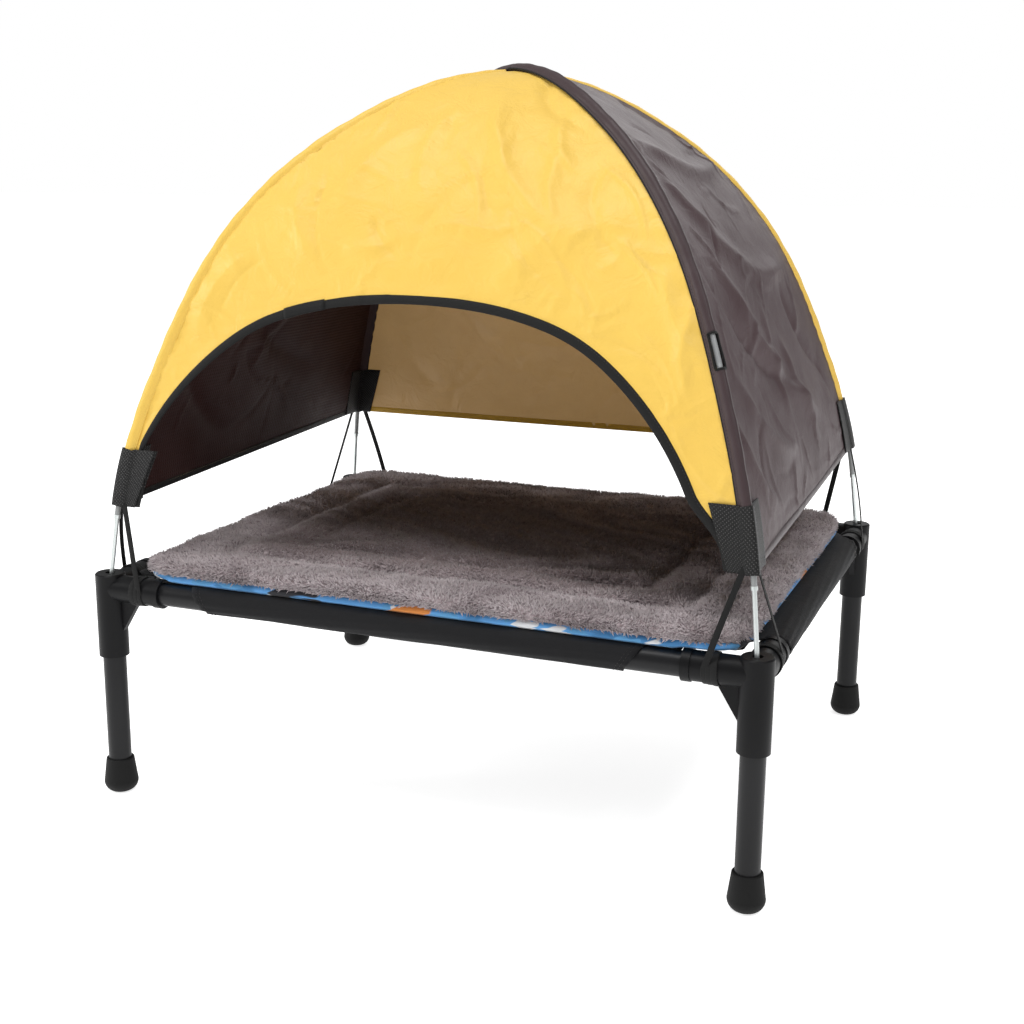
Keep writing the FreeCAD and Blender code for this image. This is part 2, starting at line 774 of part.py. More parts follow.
def tab(corner, sign_x, sign_y):
    low, high = tab_span(corner)
    arcs = bows[pole_of[corner]]
    start = distance_at(arcs, high)
    end = distance_at(arcs, low)
    solids = [seam_bar(corner, sleeve_radius, pole_radius + size("sleeve_room"), start, end)]
    front_side = "front" if sign_y < 0 else "back"
    long_side = "left" if sign_x < 0 else "right"
    plates = (
        (front_side, Vector(half_length - size("tab_front_reach"), 0, low), (far, far)),
        (long_side, Vector(0, half_width - size("tab_side_reach"), low), (far, far)),
    )
    for side, start_point, (length, width) in plates:
        window = Part.makeBox(length, width, high - low, start_point)
        if sign_x < 0:
            window = window.mirror(Vector(), Vector(1, 0, 0))
        if sign_y < 0:
            window = window.mirror(Vector(), Vector(0, 1, 0))
        plate = skin(side, hem_half, hem_half + size("tab_thick")).common(window)
        solids.append(plate.cut(seam_bars[corner]))
    whole = solids[0].fuse(solids[1:]).removeSplitter()
    return whole.cut(seam_bar(corner, pole_radius + size("sleeve_room")))


# Elastics: two flat bands from each tab, one wrapped on each arm of the connector below it.

def band(start, end, across):
    run = end - start
    across = across - run * (across.dot(run) / run.dot(run))
    across.normalize()
    flat = run.cross(across)
    flat.normalize()
    half = across * (size("elastic_width") / 2)
    thin = flat * (size("elastic_thick") / 2)
    corners_of_end = [start + half + thin, start - half + thin, start - half - thin]
    corners_of_end.append(start + half - thin)
    face = Part.Face(Part.makePolygon(corners_of_end + corners_of_end[:1]))
    return face.extrude(run)


def elastic(corner, sign_x, sign_y, connector_shape, tab_shape):
    low, high = tab_span(corner)
    arcs = bows[pole_of[corner]]
    piece = stretch(arcs, 0.0, distance_at(arcs, low))[-1]
    reach = bow_point(piece, piece["length"]).x
    foot_x = sign_x * reach * half_length / socket_reach
    foot_y = sign_y * reach * half_width / socket_reach
    hoop_bore = size("arm_dia") / 2 + size("wrap_fit")
    hoop_skin = hoop_bore + size("elastic_thick")
    wrap = (hoop_bore + hoop_skin) / 2
    stand_off = sleeve_radius + size("elastic_clearance")
    offset = size("elastic_offset")
    top_height = low + size("elastic_tuck")
    setback = size("wrap_setback")
    pieces = []
    for axis in ("x", "y"):
        if axis == "x":
            across = Vector(1, 0, 0)
            top = Vector(foot_x - sign_x * stand_off, foot_y + sign_y * offset, top_height)
            end = Vector(
                sign_x * (half_length - setback), sign_y * (half_width + wrap), rail_height
            )
            middle = Vector(sign_x * (half_length - setback), sign_y * half_width, rail_height)
        else:
            across = Vector(0, 1, 0)
            top = Vector(foot_x + sign_x * offset, foot_y - sign_y * stand_off, top_height)
            end = Vector(
                sign_x * (half_length + wrap), sign_y * (half_width - setback), rail_height
            )
            middle = Vector(sign_x * half_length, sign_y * (half_width - setback), rail_height)
        start = middle - across * (size("wrap_width") / 2)
        hoop = Part.makeCylinder(hoop_skin, size("wrap_width"), start, across)
        hoop = hoop.cut(Part.makeCylinder(hoop_bore, size("wrap_width"), start, across))
        pieces += [band(top, end, across), hoop]
    whole = pieces[0].fuse(pieces[1:])
    return whole.cut([connector_shape, tab_shape])


doc.recompute()
for corner, sign_x, sign_y, turn in corners:
    tab_shape = tab(corner, sign_x, sign_y)
    shape_part(f"tab_{corner}", tab_shape)
    connector_shape = parts[f"connector_{corner}"].Shape
    bands = elastic(corner, sign_x, sign_y, connector_shape, tab_shape)
    shape_part(f"elastic_{corner}", bands)

doc.recompute()
faults = [item.Name for item in doc.Objects if {"Invalid", "Error"} & set(item.State)]
for name, thing in parts.items():
    shape = thing.Shape
    if shape.isNull() or not shape.isValid() or not shape.Solids:
        faults.append(name)
if faults:
    raise RuntimeError("these did not build: " + ", ".join(faults))
for name, thing in parts.items():
    thing.Shape.exportStep(f"parts/{name}.step")
    print(name, len(thing.Shape.Solids), round(thing.Shape.Volume / 1000, 2))
print(len(parts), "parts, bow", round(bow_length(vault), 1), round(math.degrees(vault[-1]["to"]), 1))
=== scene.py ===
import math
import random
import bpy
import bmesh
import numpy as np
from mathutils import Matrix, Vector, noise


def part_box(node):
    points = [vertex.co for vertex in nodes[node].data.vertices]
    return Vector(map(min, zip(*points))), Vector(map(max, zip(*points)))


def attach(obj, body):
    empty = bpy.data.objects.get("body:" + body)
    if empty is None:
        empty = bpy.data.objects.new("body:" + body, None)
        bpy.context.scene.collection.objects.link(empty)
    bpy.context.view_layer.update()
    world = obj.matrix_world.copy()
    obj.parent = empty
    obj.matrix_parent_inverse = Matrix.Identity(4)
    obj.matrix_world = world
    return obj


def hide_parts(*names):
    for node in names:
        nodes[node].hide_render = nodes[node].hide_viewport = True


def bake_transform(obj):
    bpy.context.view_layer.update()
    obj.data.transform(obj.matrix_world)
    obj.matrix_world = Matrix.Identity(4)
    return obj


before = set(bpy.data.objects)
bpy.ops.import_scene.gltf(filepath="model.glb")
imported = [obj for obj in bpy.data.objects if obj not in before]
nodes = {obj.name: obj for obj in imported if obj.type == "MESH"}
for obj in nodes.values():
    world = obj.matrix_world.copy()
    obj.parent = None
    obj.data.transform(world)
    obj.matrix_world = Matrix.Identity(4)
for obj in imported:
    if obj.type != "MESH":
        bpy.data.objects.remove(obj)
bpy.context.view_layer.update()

corners = {"fl": (-1, -1), "fr": (1, -1), "br": (1, 1), "bl": (-1, 1)}
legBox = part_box("leg_fr")
halfLength = (legBox[0].x + legBox[1].x) / 2
halfWidth = -(legBox[0].y + legBox[1].y) / 2
railHeight = (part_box("rail_front")[0].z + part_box("rail_front")[1].z) / 2
socketReach = math.hypot(halfLength, halfWidth)
upward = np.array([0.0, 0.0, 1.0])


# view and studio
camera = {
    "place": (0.6302, -1.5743, 0.6969),
    "turn": 21.784,      # degrees to the left of straight ahead
    "down": 13.184,
    "roll": 0.496,
    "lens": 51.34,
}
studio = {
    "floorTone": 0.92,
    "floorGlow": 0.76,     # the paper is lit from below, so no horizon shows
    "skyLight": 0.36,
    "skySeen": 1.0,
    "floorSize": 60,
    "lamps": {
        "key": ((1.9, -1.5, 2.9), (0, 0, 0.45), 34, 0.6),
        "left": ((-3.2, -1.4, 1.7), (0, 0, 0.4), 44, 0.8),
        "top": ((-0.6, -0.9, 3.3), (0, 0, 0.5), 40, 0.7),
        "back": ((0.4, 3.0, 2.4), (0, 0, 0.4), 30, 2.4),
    },
}


def addCamera():
    turn, down, roll = (math.radians(camera[key]) for key in ("turn", "down", "roll"))
    back = Vector((math.sin(turn) * math.cos(down), -math.cos(turn) * math.cos(down), math.sin(down)))
    right = Vector((math.cos(turn), math.sin(turn), 0.0))
    up = back.cross(right)
    tilted = math.cos(roll) * right + math.sin(roll) * up
    above = math.cos(roll) * up - math.sin(roll) * right
    data = bpy.data.cameras.new("camera")
    data.lens = camera["lens"]
    data.sensor_width = 36.0
    data.clip_start = 0.05
    view = bpy.data.objects.new("camera", data)
    axes = Matrix((tilted, above, back)).transposed().to_4x4()
    view.matrix_world = Matrix.Translation(camera["place"]) @ axes
    bpy.context.scene.collection.objects.link(view)
    bpy.context.scene.camera = view


def addStudio():
    world = bpy.data.worlds.new("studio")
    world.use_nodes = True
    tree = world.node_tree
    light = tree.nodes["Background"]
    fillInputs(tree, light, {"Color": (1, 1, 1, 1), "Strength": studio["skyLight"]})
    # the plain white behind the bed
    seen = addNode(tree, "Background", {"Color": (1, 1, 1, 1), "Strength": studio["skySeen"]})
    byCamera = addNode(tree, "LightPath").outputs["Is Camera Ray"]
    choose = addNode(tree, "MixShader", {0: byCamera, 1: light.outputs[0], 2: seen.outputs[0]})
    fillInputs(tree, tree.nodes["World Output"], {"Surface": choose.outputs[0]})
    bpy.context.scene.world = world
    bpy.context.scene.view_settings.view_transform = "Standard"
    for name, (place, target, power, width) in studio["lamps"].items():
        data = bpy.data.lights.new(name, "AREA")
        data.shape = "SQUARE"
        data.size, data.energy = width, power
        lamp = bpy.data.objects.new(name, data)
        lamp.location = place
        lamp.rotation_euler = (Vector(target) - Vector(place)).to_track_quat("-Z", "Y").to_euler()
        bpy.context.scene.collection.objects.link(lamp)
    bpy.ops.mesh.primitive_plane_add(size=studio["floorSize"], location=(0, 0, -0.0005))
    floor = bpy.context.object
    floor.name = "floor"
    material, tree, shader = newMaterial("floorPaper")
    fillInputs(tree, shader, {
        "Base Color": rgba([studio["floorTone"]] * 3), "Roughness": 0.95, "Specular IOR Level": 0.1,
        "Emission Color": (1, 1, 1, 1), "Emission Strength": studio["floorGlow"],
    })
    floor.data.materials.append(material)


# materials
def newMaterial(name="finish"):
    material = bpy.data.materials.new(name)
    material.use_nodes = True
    return material, material.node_tree, material.node_tree.nodes["Principled BSDF"]


# each input is given another node's output or a plain value
def fillInputs(tree, node, inputs):
    for key, value in inputs.items():
        if isinstance(value, bpy.types.NodeSocket):
            tree.links.new(value, node.inputs[key])
        else:
            node.inputs[key].default_value = value


def addNode(tree, kind, inputs=None, **settings):
    made = tree.nodes.new("ShaderNode" + kind)
    for key, value in settings.items():
        setattr(made, key, value)
    fillInputs(tree, made, inputs or {})
    return made


def rgba(colour):
    return (*colour, 1.0)


def blendColours(tree, factor, first, second):
    first, second = (rgba(colour) if isinstance(colour, tuple) else colour for colour in (first, second))
    return addNode(tree, "Mix", {0: factor, 6: first, 7: second}, data_type="RGBA").outputs[2]


def noiseOf(tree, place, scale, detail=3.0, roughness=0.55, distortion=0.0):
    made = addNode(tree, "TexNoise", {
        "Vector": place, "Scale": scale, "Detail": detail, "Roughness": roughness,
        "Distortion": distortion,
    })
    return made.outputs["Fac"]


def sums(tree, operation, first, second):
    return addNode(tree, "Math", {0: first, 1: second}, operation=operation).outputs[0]


def spread(tree, value, low, high, toLow=0.0, toHigh=1.0):
    made = addNode(tree, "MapRange", {
        "Value": value, "From Min": low, "From Max": high, "To Min": toLow, "To Max": toHigh,
    })
    return made.outputs["Result"]


def bumped(tree, height, distance, strength=1.0, under=None):
    inputs = {"Height": height, "Distance": distance, "Strength": strength}
    if under is not None:
        inputs["Normal"] = under
    return addNode(tree, "Bump", inputs).outputs["Normal"]


def coordinates(tree, kind="Object"):
    return addNode(tree, "TexCoord").outputs[kind]


# hard finishes: a fine grain, faint cloudiness and a little handling wear
def hardFinish(colour, worn, roughness, grain, grainDepth, metallic=0.0, specular=0.5,
               wearFrom=0.62, stretched=None):
    material, tree, shader = newMaterial()
    place = coordinates(tree)
    if stretched:                                   # brushed or drawn along one direction
        place = addNode(tree, "Mapping", {"Vector": place, "Scale": stretched}).outputs[0]
    wear = spread(tree, noiseOf(tree, place, 46, 8, 0.72), wearFrom, wearFrom + 0.13)
    cloud = spread(tree, noiseOf(tree, place, 9, 2), 0.3, 0.7)
    tone = blendColours(tree, cloud, colour, tuple(part * 0.72 for part in colour))
    fillInputs(tree, shader, {
        "Base Color": blendColours(tree, wear, tone, worn),
        "Roughness": sums(tree, "ADD", spread(tree, cloud, 0, 1, roughness - 0.05, roughness + 0.07),
                          spread(tree, wear, 0, 1, 0, 0.08)),
        "Metallic": metallic,
        "Specular IOR Level": specular,
        "Normal": bumped(tree, noiseOf(tree, place, grain, 3, 0.6), grainDepth),
    })
    return material


# woven finishes: warp and weft, uneven dye, small crumples, a soft sheen
def wovenFinish(colour, shade, thread=0.0011, depth=0.00006, roughness=0.62, sheen=0.25,
                crumple=0.0005, space="UV", specular=0.35, cloudScale=5.0, holes=None, slant=0.0, glow=0.0):
    material, tree, shader = newMaterial()
    place = coordinates(tree, space)
    perMetre = 0.314 / thread                       # the wave texture's own unit
    laid = addNode(tree, "Mapping", {"Vector": place, "Rotation": (0, 0, slant)}).outputs[0]
    warp = addNode(tree, "TexWave", {"Vector": laid, "Scale": perMetre, "Distortion": 0.6,
                                     "Detail Scale": 2.0}, bands_direction="X").outputs["Fac"]
    weft = addNode(tree, "TexWave", {"Vector": laid, "Scale": perMetre,
                                     "Distortion": 0.6}, bands_direction="Y").outputs["Fac"]
    weave = sums(tree, "MAXIMUM", warp, weft)
    cloud = spread(tree, noiseOf(tree, place, cloudScale, 4, 0.6), 0.3, 0.7)
    between = spread(tree, weave, 0.3, 1.0, 0.55, 0.0)
    tone = blendColours(tree, cloud, colour, shade)
    tone = blendColours(tree, between, tone, tuple(part * 0.55 for part in shade))
    if holes:                                       # pale points where light comes through
        points = sums(tree, "MULTIPLY", spread(tree, warp, 0.25, 0.05), spread(tree, weft, 0.25, 0.05))
        tone = blendColours(tree, points, tone, holes)
    creases = bumped(tree, noiseOf(tree, place, 34, 6, 0.62, 0.8), crumple)
    fillInputs(tree, shader, {
        "Base Color": tone,
        "Roughness": spread(tree, cloud, 0, 1, roughness - 0.06, roughness + 0.06),
        "Normal": bumped(tree, weave, depth, 1.0, creases),
        "Sheen Weight": sheen,
        "Sheen Roughness": 0.4,
        "Specular IOR Level": specular,
    })
    if glow:                                        # daylight that comes through the cloth
        fillInputs(tree, shader, {"Emission Color": rgba(colour), "Emission Strength": glow})
    return material


def pileFinish(root, middle, tipColour, paintedShadeTone):
    material, tree, shader = newMaterial()
    place = coordinates(tree)
    far = addNode(tree, "Attribute", attribute_name="pileHeight").outputs["Fac"]
    clump = spread(tree, noiseOf(tree, place, 150, 3, 0.6), 0.36, 0.66)
    patch = spread(tree, noiseOf(tree, place, 22, 3, 0.55), 0.35, 0.65)
    body = blendColours(tree, clump, root, middle)
    tips = blendColours(tree, patch, middle, tipColour)
    # away from the mat's edge the pile's tips are given a painted shade, darker and browner, for the
    # canopy's shadow over its middle
    outsidePaintedShade = addNode(tree, "Attribute", attribute_name="pileOutsidePaintedShade").outputs["Fac"]
    paintedShadeTips = blendColours(tree, patch, paintedShadeTone, tuple(part * 1.35 for part in paintedShadeTone))
    tips = blendColours(tree, outsidePaintedShade, paintedShadeTips, tips)
    fillInputs(tree, shader, {
        "Base Color": blendColours(tree, far, body, tips),
        "Roughness": 0.92,
        "Specular IOR Level": 0.15,
        "Sheen Weight": 0.3,
        "Sheen Roughness": 0.5,
        "Normal": bumped(tree, noiseOf(tree, place, 420, 4, 0.7), 0.0012),
    })
    return material


# the mat's printed cloth: plain shapes of a few colours on blue
def printedFinish(ground, inks):
    material, tree, shader = newMaterial()
    place = coordinates(tree)
    flow = addNode(tree, "Mapping", {"Vector": place, "Scale": (1.0, 1.6, 1.6)}).outputs[0]
    tone = blendColours(tree, spread(tree, noiseOf(tree, flow, 14, 2), 0.45, 0.5), ground,
                        tuple(min(1.0, part * 1.5 + 0.03) for part in ground))
    for number, (ink, size, level) in enumerate(inks):
        moved = addNode(tree, "Mapping", {"Vector": flow, "Location": (number * 0.37, 0.11, 0.2)})
        blot = noiseOf(tree, moved.outputs[0], size, 1, 0.4, 0.6)
        tone = blendColours(tree, spread(tree, blot, level, level + 0.012), tone, ink)
    weave = noiseOf(tree, place, 1500, 2)
    fillInputs(tree, shader, {
        "Base Color": tone,
        "Roughness": spread(tree, weave, 0, 1, 0.7, 0.85),
        "Normal": bumped(tree, weave, 0.0001),
        "Sheen Weight": 0.2,
    })
    return material


finishes = {
    "connectorPlastic": hardFinish(
        (0.0055, 0.0055, 0.0062), (0.014, 0.014, 0.015), 0.42, 1300, 0.00005, specular=0.15,
    ),
    "powderCoat": hardFinish(
        (0.0085, 0.0085, 0.0095), (0.018, 0.018, 0.019), 0.38, 700, 0.00008, specular=0.22, wearFrom=0.68,
    ),
    "footRubber": hardFinish(
        (0.008, 0.008, 0.008), (0.022, 0.0215, 0.021), 0.66, 900, 0.00012, specular=0.18, wearFrom=0.6,
    ),
    "poleFibre": hardFinish(
        (0.30, 0.31, 0.31), (0.42, 0.43, 0.43), 0.38, 500, 0.00004, stretched=(1, 1, 0.1),
    ),
    "zincSteel": hardFinish(
        (0.70, 0.74, 0.73), (0.52, 0.54, 0.53), 0.3, 800, 0.00003, metallic=0.75, stretched=(1, 1, 0.12),
    ),
    "shockCord": wovenFinish((0.02, 0.02, 0.02), (0.05, 0.05, 0.05), space="Object"),
    "slingCloth": wovenFinish(
        (0.0085, 0.0085, 0.0095), (0.012, 0.012, 0.013), thread=0.0013, depth=0.0001, roughness=0.74,
        sheen=0.04, crumple=0.0009, specular=0.15,
    ),
    "yellowCloth": wovenFinish(
        (0.875, 0.585, 0.118), (0.83, 0.535, 0.096), thread=0.0009, depth=0.00003, roughness=0.46,
        sheen=0.03, crumple=0.0022, specular=0.3,
    ),
    "yellowInside": wovenFinish(
        (0.56, 0.35, 0.145), (0.42, 0.25, 0.095), thread=0.0009, depth=0.00003, roughness=0.40, sheen=0.03,
        crumple=0.0030, specular=0.35, glow=0.20,
    ),
    "brownCloth": wovenFinish(
        (0.082, 0.052, 0.056), (0.064, 0.040, 0.043), thread=0.0009, depth=0.00004, roughness=0.46,
        sheen=0.03, crumple=0.0014, specular=0.16,
    ),
    "brownInside": wovenFinish(
        (0.042, 0.0165, 0.0155), (0.030, 0.012, 0.0115), thread=0.0042, depth=0.0003, roughness=0.6,
        sheen=0.02, crumple=0.0006, specular=0.1,
    ),
    "seamCloth": wovenFinish(
        (0.060, 0.038, 0.041), (0.046, 0.029, 0.031), thread=0.0009, depth=0.00004, roughness=0.46,
        sheen=0.06, crumple=0.0009, specular=0.28,
    ),
    "bindingTape": wovenFinish(
        (0.008, 0.008, 0.008), (0.012, 0.012, 0.0115), thread=0.0016, depth=0.00015, roughness=0.6,
        sheen=0.04, crumple=0.0002, specular=0.18,
    ),
    "ochreTape": wovenFinish(
        (0.62, 0.36, 0.035), (0.54, 0.30, 0.025), thread=0.0011, depth=0.00006, roughness=0.6, sheen=0.1,
    ),
    "webbing": wovenFinish(
        (0.008, 0.008, 0.008), (0.012, 0.012, 0.012), thread=0.0027, depth=0.0006, roughness=0.5,
        sheen=0.03, crumple=0.0001, specular=0.22, holes=(0.10, 0.098, 0.095), slant=0.6,
    ),
    "elasticBand": wovenFinish(
        (0.009, 0.009, 0.009), (0.014, 0.014, 0.014), thread=0.0011, depth=0.00012, roughness=0.66,
        sheen=0.04, crumple=0.0001, specular=0.16,
    ),
    "darkThread": hardFinish((0.02, 0.017, 0.017), (0.04, 0.035, 0.035), 0.6, 2500, 0.0001),
    "paleThread": hardFinish((0.33, 0.25, 0.16), (0.4, 0.3, 0.2), 0.6, 2500, 0.0001),
    "yellowThread": hardFinish((0.72, 0.42, 0.05), (0.6, 0.34, 0.04), 0.6, 2500, 0.0001),
    # the last colour is the painted shade of the pile's middle, under the canopy
    "plushPile": pileFinish(
        (0.17, 0.130, 0.134), (0.44, 0.37, 0.384), (0.70, 0.62, 0.64), (0.185, 0.138, 0.136),
    ),
    "matPrint": printedFinish(
        (0.05, 0.21, 0.46),
        [((0.10, 0.33, 0.62), 34, 0.55), ((0.72, 0.74, 0.76), 24, 0.645),
         ((0.72, 0.25, 0.05), 13, 0.66), ((0.015, 0.015, 0.02), 12, 0.655)],
    ),
}
for name, material in finishes.items():
    material.name = name

hardNodes = {
    "connectorPlastic": [f"connector_{corner}" for corner in corners],
    "powderCoat": [f"leg_{corner}" for corner in corners]
    + [f"rail_{side}" for side in ("front", "back", "left", "right")],
    "footRubber": [f"foot_{corner}" for corner in corners],
    "poleFibre": [f"pole_{pole}_section_{number}" for pole in "ab" for number in range(1, 6)]
    + ["pole_a_ferrules", "pole_b_ferrules"],
    "zincSteel": [f"tip_{corner}" for corner in corners],
    "shockCord": ["pole_a_shock_cord", "pole_b_shock_cord"],
}
for finish, names in hardNodes.items():
    for name in names:
        mesh = nodes[name].data
        if not mesh.materials:
            mesh.materials.append(finishes[finish])
        for number in range(len(mesh.materials)):
            mesh.materials[number] = finishes[finish]
print("materials", len(finishes))
addCamera()
addStudio()


# mesh helpers
def unit(vectors):
    return vectors / np.maximum(np.linalg.norm(vectors, axis=-1, keepdims=True), 1e-9)


def smoothStep(value):
    value = np.clip(value, 0.0, 1.0)
    return value * value * (3 - 2 * value)


def distances(line):
    steps = np.linalg.norm(np.diff(line, axis=0), axis=1)
    return np.concatenate([[0.0], np.cumsum(steps)])


def respaced(line, count):
    far = distances(line)
    wanted = np.linspace(0, far[-1], count)
    return np.stack([np.interp(wanted, far, line[:, k]) for k in range(3)], axis=1)


def addObject(name, vertices, faces, materials, uv=None, closed=False):
    mesh = bpy.data.meshes.new(name)
    mesh.from_pydata(np.asarray(vertices, float).reshape(-1, 3).tolist(), [], faces)
    for material in materials:
        mesh.materials.append(finishes[material])
    if uv is not None:
        layer = mesh.uv_layers.new(name="flat")
        corner = np.zeros(len(mesh.loops), np.int64)
        mesh.loops.foreach_get("vertex_index", corner)
        layer.data.foreach_set("uv", np.asarray(uv, np.float32).reshape(-1, 2)[corner].ravel())
    if closed:
        facesOutward(mesh)
    mesh.shade_smooth()
    piece = bpy.data.objects.new(name, mesh)
    bpy.context.scene.collection.objects.link(piece)
    return piece


# the same from the vertices, faces and uv that the mesh makers below return
def addMade(name, made, finish, closed=False):
    return addObject(name, made[0], made[1], [finish], made[2], closed)


def facesOutward(mesh, weld=False):
    work = bmesh.new()
    work.from_mesh(mesh)
    if weld:
        bmesh.ops.remove_doubles(work, verts=work.verts, dist=1e-6)
    bmesh.ops.recalc_face_normals(work, faces=work.faces)
    work.to_mesh(mesh)
    work.free()
    mesh.shade_smooth()


def quadsOf(rows, columns, loop=False, flip=False, start=0):
    index = np.arange(rows * columns).reshape(rows, columns) + start
    if loop:
        index = np.hstack([index, index[:, :1]])
    quads = [index[:-1, :-1], index[1:, :-1], index[1:, 1:], index[:-1, 1:]]
    if flip:
        quads.reverse()
    return np.stack(quads, axis=-1).reshape(-1, 4).tolist()


# a sheet from a grid of points, given its thickness; the second material is its inner face
def sheetPiece(name, points, uv, thickness, materials, middle=(0.0, 0.0, 0.3)):
    rows, columns = points.shape[:2]
    across = points[1:, 1:] - points[:-1, :-1]
    down = points[1:, :-1] - points[:-1, 1:]
    normal = np.cross(across, down)
    outward = (points[1:, 1:] - np.array(middle)) * normal
    piece = addObject(name, points, quadsOf(rows, columns, flip=outward.sum() >= 0), materials, uv)
    thick = piece.modifiers.new("thickness", "SOLIDIFY")
    thick.thickness, thick.offset = thickness, 0.0
    if len(materials) > 1:
        thick.material_offset = 1
        thick.material_offset_rim = 0
    return applied(piece)


def applied(piece):
    bpy.context.view_layer.update()
    graph = bpy.context.evaluated_depsgraph_get()
    mesh = bpy.data.meshes.new_from_object(piece.evaluated_get(graph))
    old = piece.data
    piece.modifiers.clear()
    piece.data = mesh
    bpy.data.meshes.remove(old)
    piece.data.name = piece.name
    return piece


# a closed bar swept along a line; the section is drawn in side and normal
def sweptMesh(line, side, normal, section):
    section = np.asarray(section, float)
    points = (line[:, None, :] + side[:, None, :] * section[None, :, :1]
              + normal[:, None, :] * section[None, :, 1:2])
    rows, columns = points.shape[:2]
    faces = quadsOf(rows, columns, loop=True)
    faces.append(list(range(columns)))
    faces.append([(rows - 1) * columns + k for k in reversed(range(columns))])
    uv = np.stack(np.meshgrid(distances(section), distances(line)), axis=-1)
    return points.reshape(-1, 3), faces, uv.reshape(-1, 2)


def joined(parts):
    vertices, faces, uv, start = [], [], [], 0
    for points, quads, flat in parts:
        vertices.append(points)
        uv.append(flat)
        faces += [[corner + start for corner in quad] for quad in quads]
        start += len(points)
    return np.concatenate(vertices), faces, np.concatenate(uv)


def tapeSection(width, thick, round=0.3):
    half, edge = thick / 2, thick * round
    return [(0, -half + edge), (0, half - edge), (edge, half), (width - edge, half),
            (width, half - edge), (width, -half + edge), (width - edge, -half), (edge, -half)]


# little raised stitches along a line
def stitchMesh(line, normal, pitch=0.0032, length=0.0023, radius=0.00028):
    far = distances(line)
    count = max(2, int(far[-1] / pitch))
    middle = (np.arange(count) + 0.5) * far[-1] / count
    at = lambda where, of: np.stack([np.interp(where, far, of[:, k]) for k in range(3)], axis=1)
    centre = at(middle, line)
    forward = unit(at(middle + length / 2, line) - at(middle - length / 2, line))
    out = unit(at(middle, normal))
    side = np.cross(forward, out)
    ends = [(-0.5, 0, -0.2), (0.5, 0, -0.2)]
    ring = [(0, 1, 0.0), (0, 0, 1.0), (0, -1, 0.0), (0, 0, -1.0)]
    points = [centre + forward * (length * along) + out * (radius * rise) for along, _, rise in ends]
    points += [centre + side * (radius * across) + out * (radius * rise) for _, across, rise in ring]
    points = np.stack(points, axis=1).reshape(-1, 3)
    triangles = []
    for number in range(count):
        base = number * 6
        for k in range(4):
            first, second = base + 2 + k, base + 2 + (k + 1) % 4
            triangles += [[base, second, first], [base + 1, first, second]]
    return points, triangles, np.zeros((len(points), 2))


def place(piece, body, slot, *replaced):
    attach(piece, body)
    if replaced:
        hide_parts(*replaced)
    return piece


# the canopy's lines
bow = {
    "turns": [14, 11, 6, 9, 9, 10, 6, 2, 6, 9],   # each equal arc's share of the turn, crown to tip
    "crown": 0.8035,
    "stack": 0.0031,       # each pole above or below the mean line at the crossing
    "straight": 0.079,     # steel tip, down to the middle of its socket
    "socket": 0.245,       # height of that point
}
arch = {
    "turns": [6, 9, 17, 11, 12, 14],
    "halfWidth": 0.327,
    "crown": 0.564,
    "foot": 0.334,
    "lean": -0.019,        # the opening hangs a little to the left
    "leanFrom": 0.352,     # and comes back to its place at the feet
    "leanTo": 0.40,
}
hem = {"front": 0.334, "back": 0.358, "width": 0.008, "thick": 0.0019, "overhang": 0.0006,
       "stitchAt": 0.0062}
panel = {"thickness": 0.0007, "seamInset": 0.0045}


def bowLine(turns, halfSpan, rise, crown, straight=0.0, samples=1201):
    part = np.linspace(0, 1, samples)
    share = np.interp(part, np.linspace(0, 1, len(turns) + 1), np.concatenate([[0], np.cumsum(turns)]))
    share = share / sum(turns)
    total = lambda values: np.concatenate([[0], np.cumsum((values[1:] + values[:-1]) / 2)]) / (samples - 1)
    low, high = math.radians(20), math.radians(110)
    for step in range(60):
        turn = (low + high) / 2
        out, fall = total(np.cos(turn * share)), total(np.sin(turn * share))
        length = (halfSpan - straight * math.cos(turn)) / out[-1]
        if fall[-1] * length + straight * math.sin(turn) < rise:
            low = turn
        else:
            high = turn
    return {"reach": out * length, "height": crown - fall * length, "angle": turn * share,
            "far": part * length}


def poleBow(crown):
    return bowLine(bow["turns"], socketReach, crown - bow["socket"], crown, bow["straight"])


vault = poleBow(bow["crown"])
poleBows = {"a": poleBow(bow["crown"] - bow["stack"]), "b": poleBow(bow["crown"] + bow["stack"])}
poleOf = {"fl": "a", "br": "a", "fr": "b", "bl": "b"}


def read(line, key, far):
    return np.interp(far, line["far"], line[key])


def farAt(line, height):
    return np.interp(height, line["height"][::-1], line["far"][::-1])


sides = {}
for name, outward, outSpan, acrossSpan in (
    ("front", (0, -1, 0), halfWidth, halfLength), ("back", (0, 1, 0), halfWidth, halfLength),
    ("left", (-1, 0, 0), halfLength, halfWidth), ("right", (1, 0, 0), halfLength, halfWidth),
):
    share = outSpan / socketReach
    step = np.hypot(np.cos(vault["angle"]) * share, np.sin(vault["angle"]))
    down = np.concatenate([[0], np.cumsum((step[1:] + step[:-1]) / 2 * np.diff(vault["far"]))])
    sides[name] = {
        "outward": np.array(outward, float),
        "sideways": np.array([1.0, 0, 0] if outward[1] else [0, 1.0, 0]),
        "share": share,
        "spread": acrossSpan / socketReach,
        "down": down,
    }


# points of a panel: across it in metres, and down it from the crown along its own surface
def onPanel(side, across, down, lift=0.0):
    facts = sides[side]
    far = np.interp(down, facts["down"], vault["far"])
    angle = read(vault, "angle", far)[..., None]
    normal = unit(facts["outward"] * np.sin(angle) + upward * facts["share"] * np.cos(angle))
    point = (facts["outward"] * (read(vault, "reach", far) * facts["share"])[..., None]
             + facts["sideways"] * np.asarray(across)[..., None]
             + upward * read(vault, "height", far)[..., None])
    return point + normal * np.asarray(lift)[..., None], normal


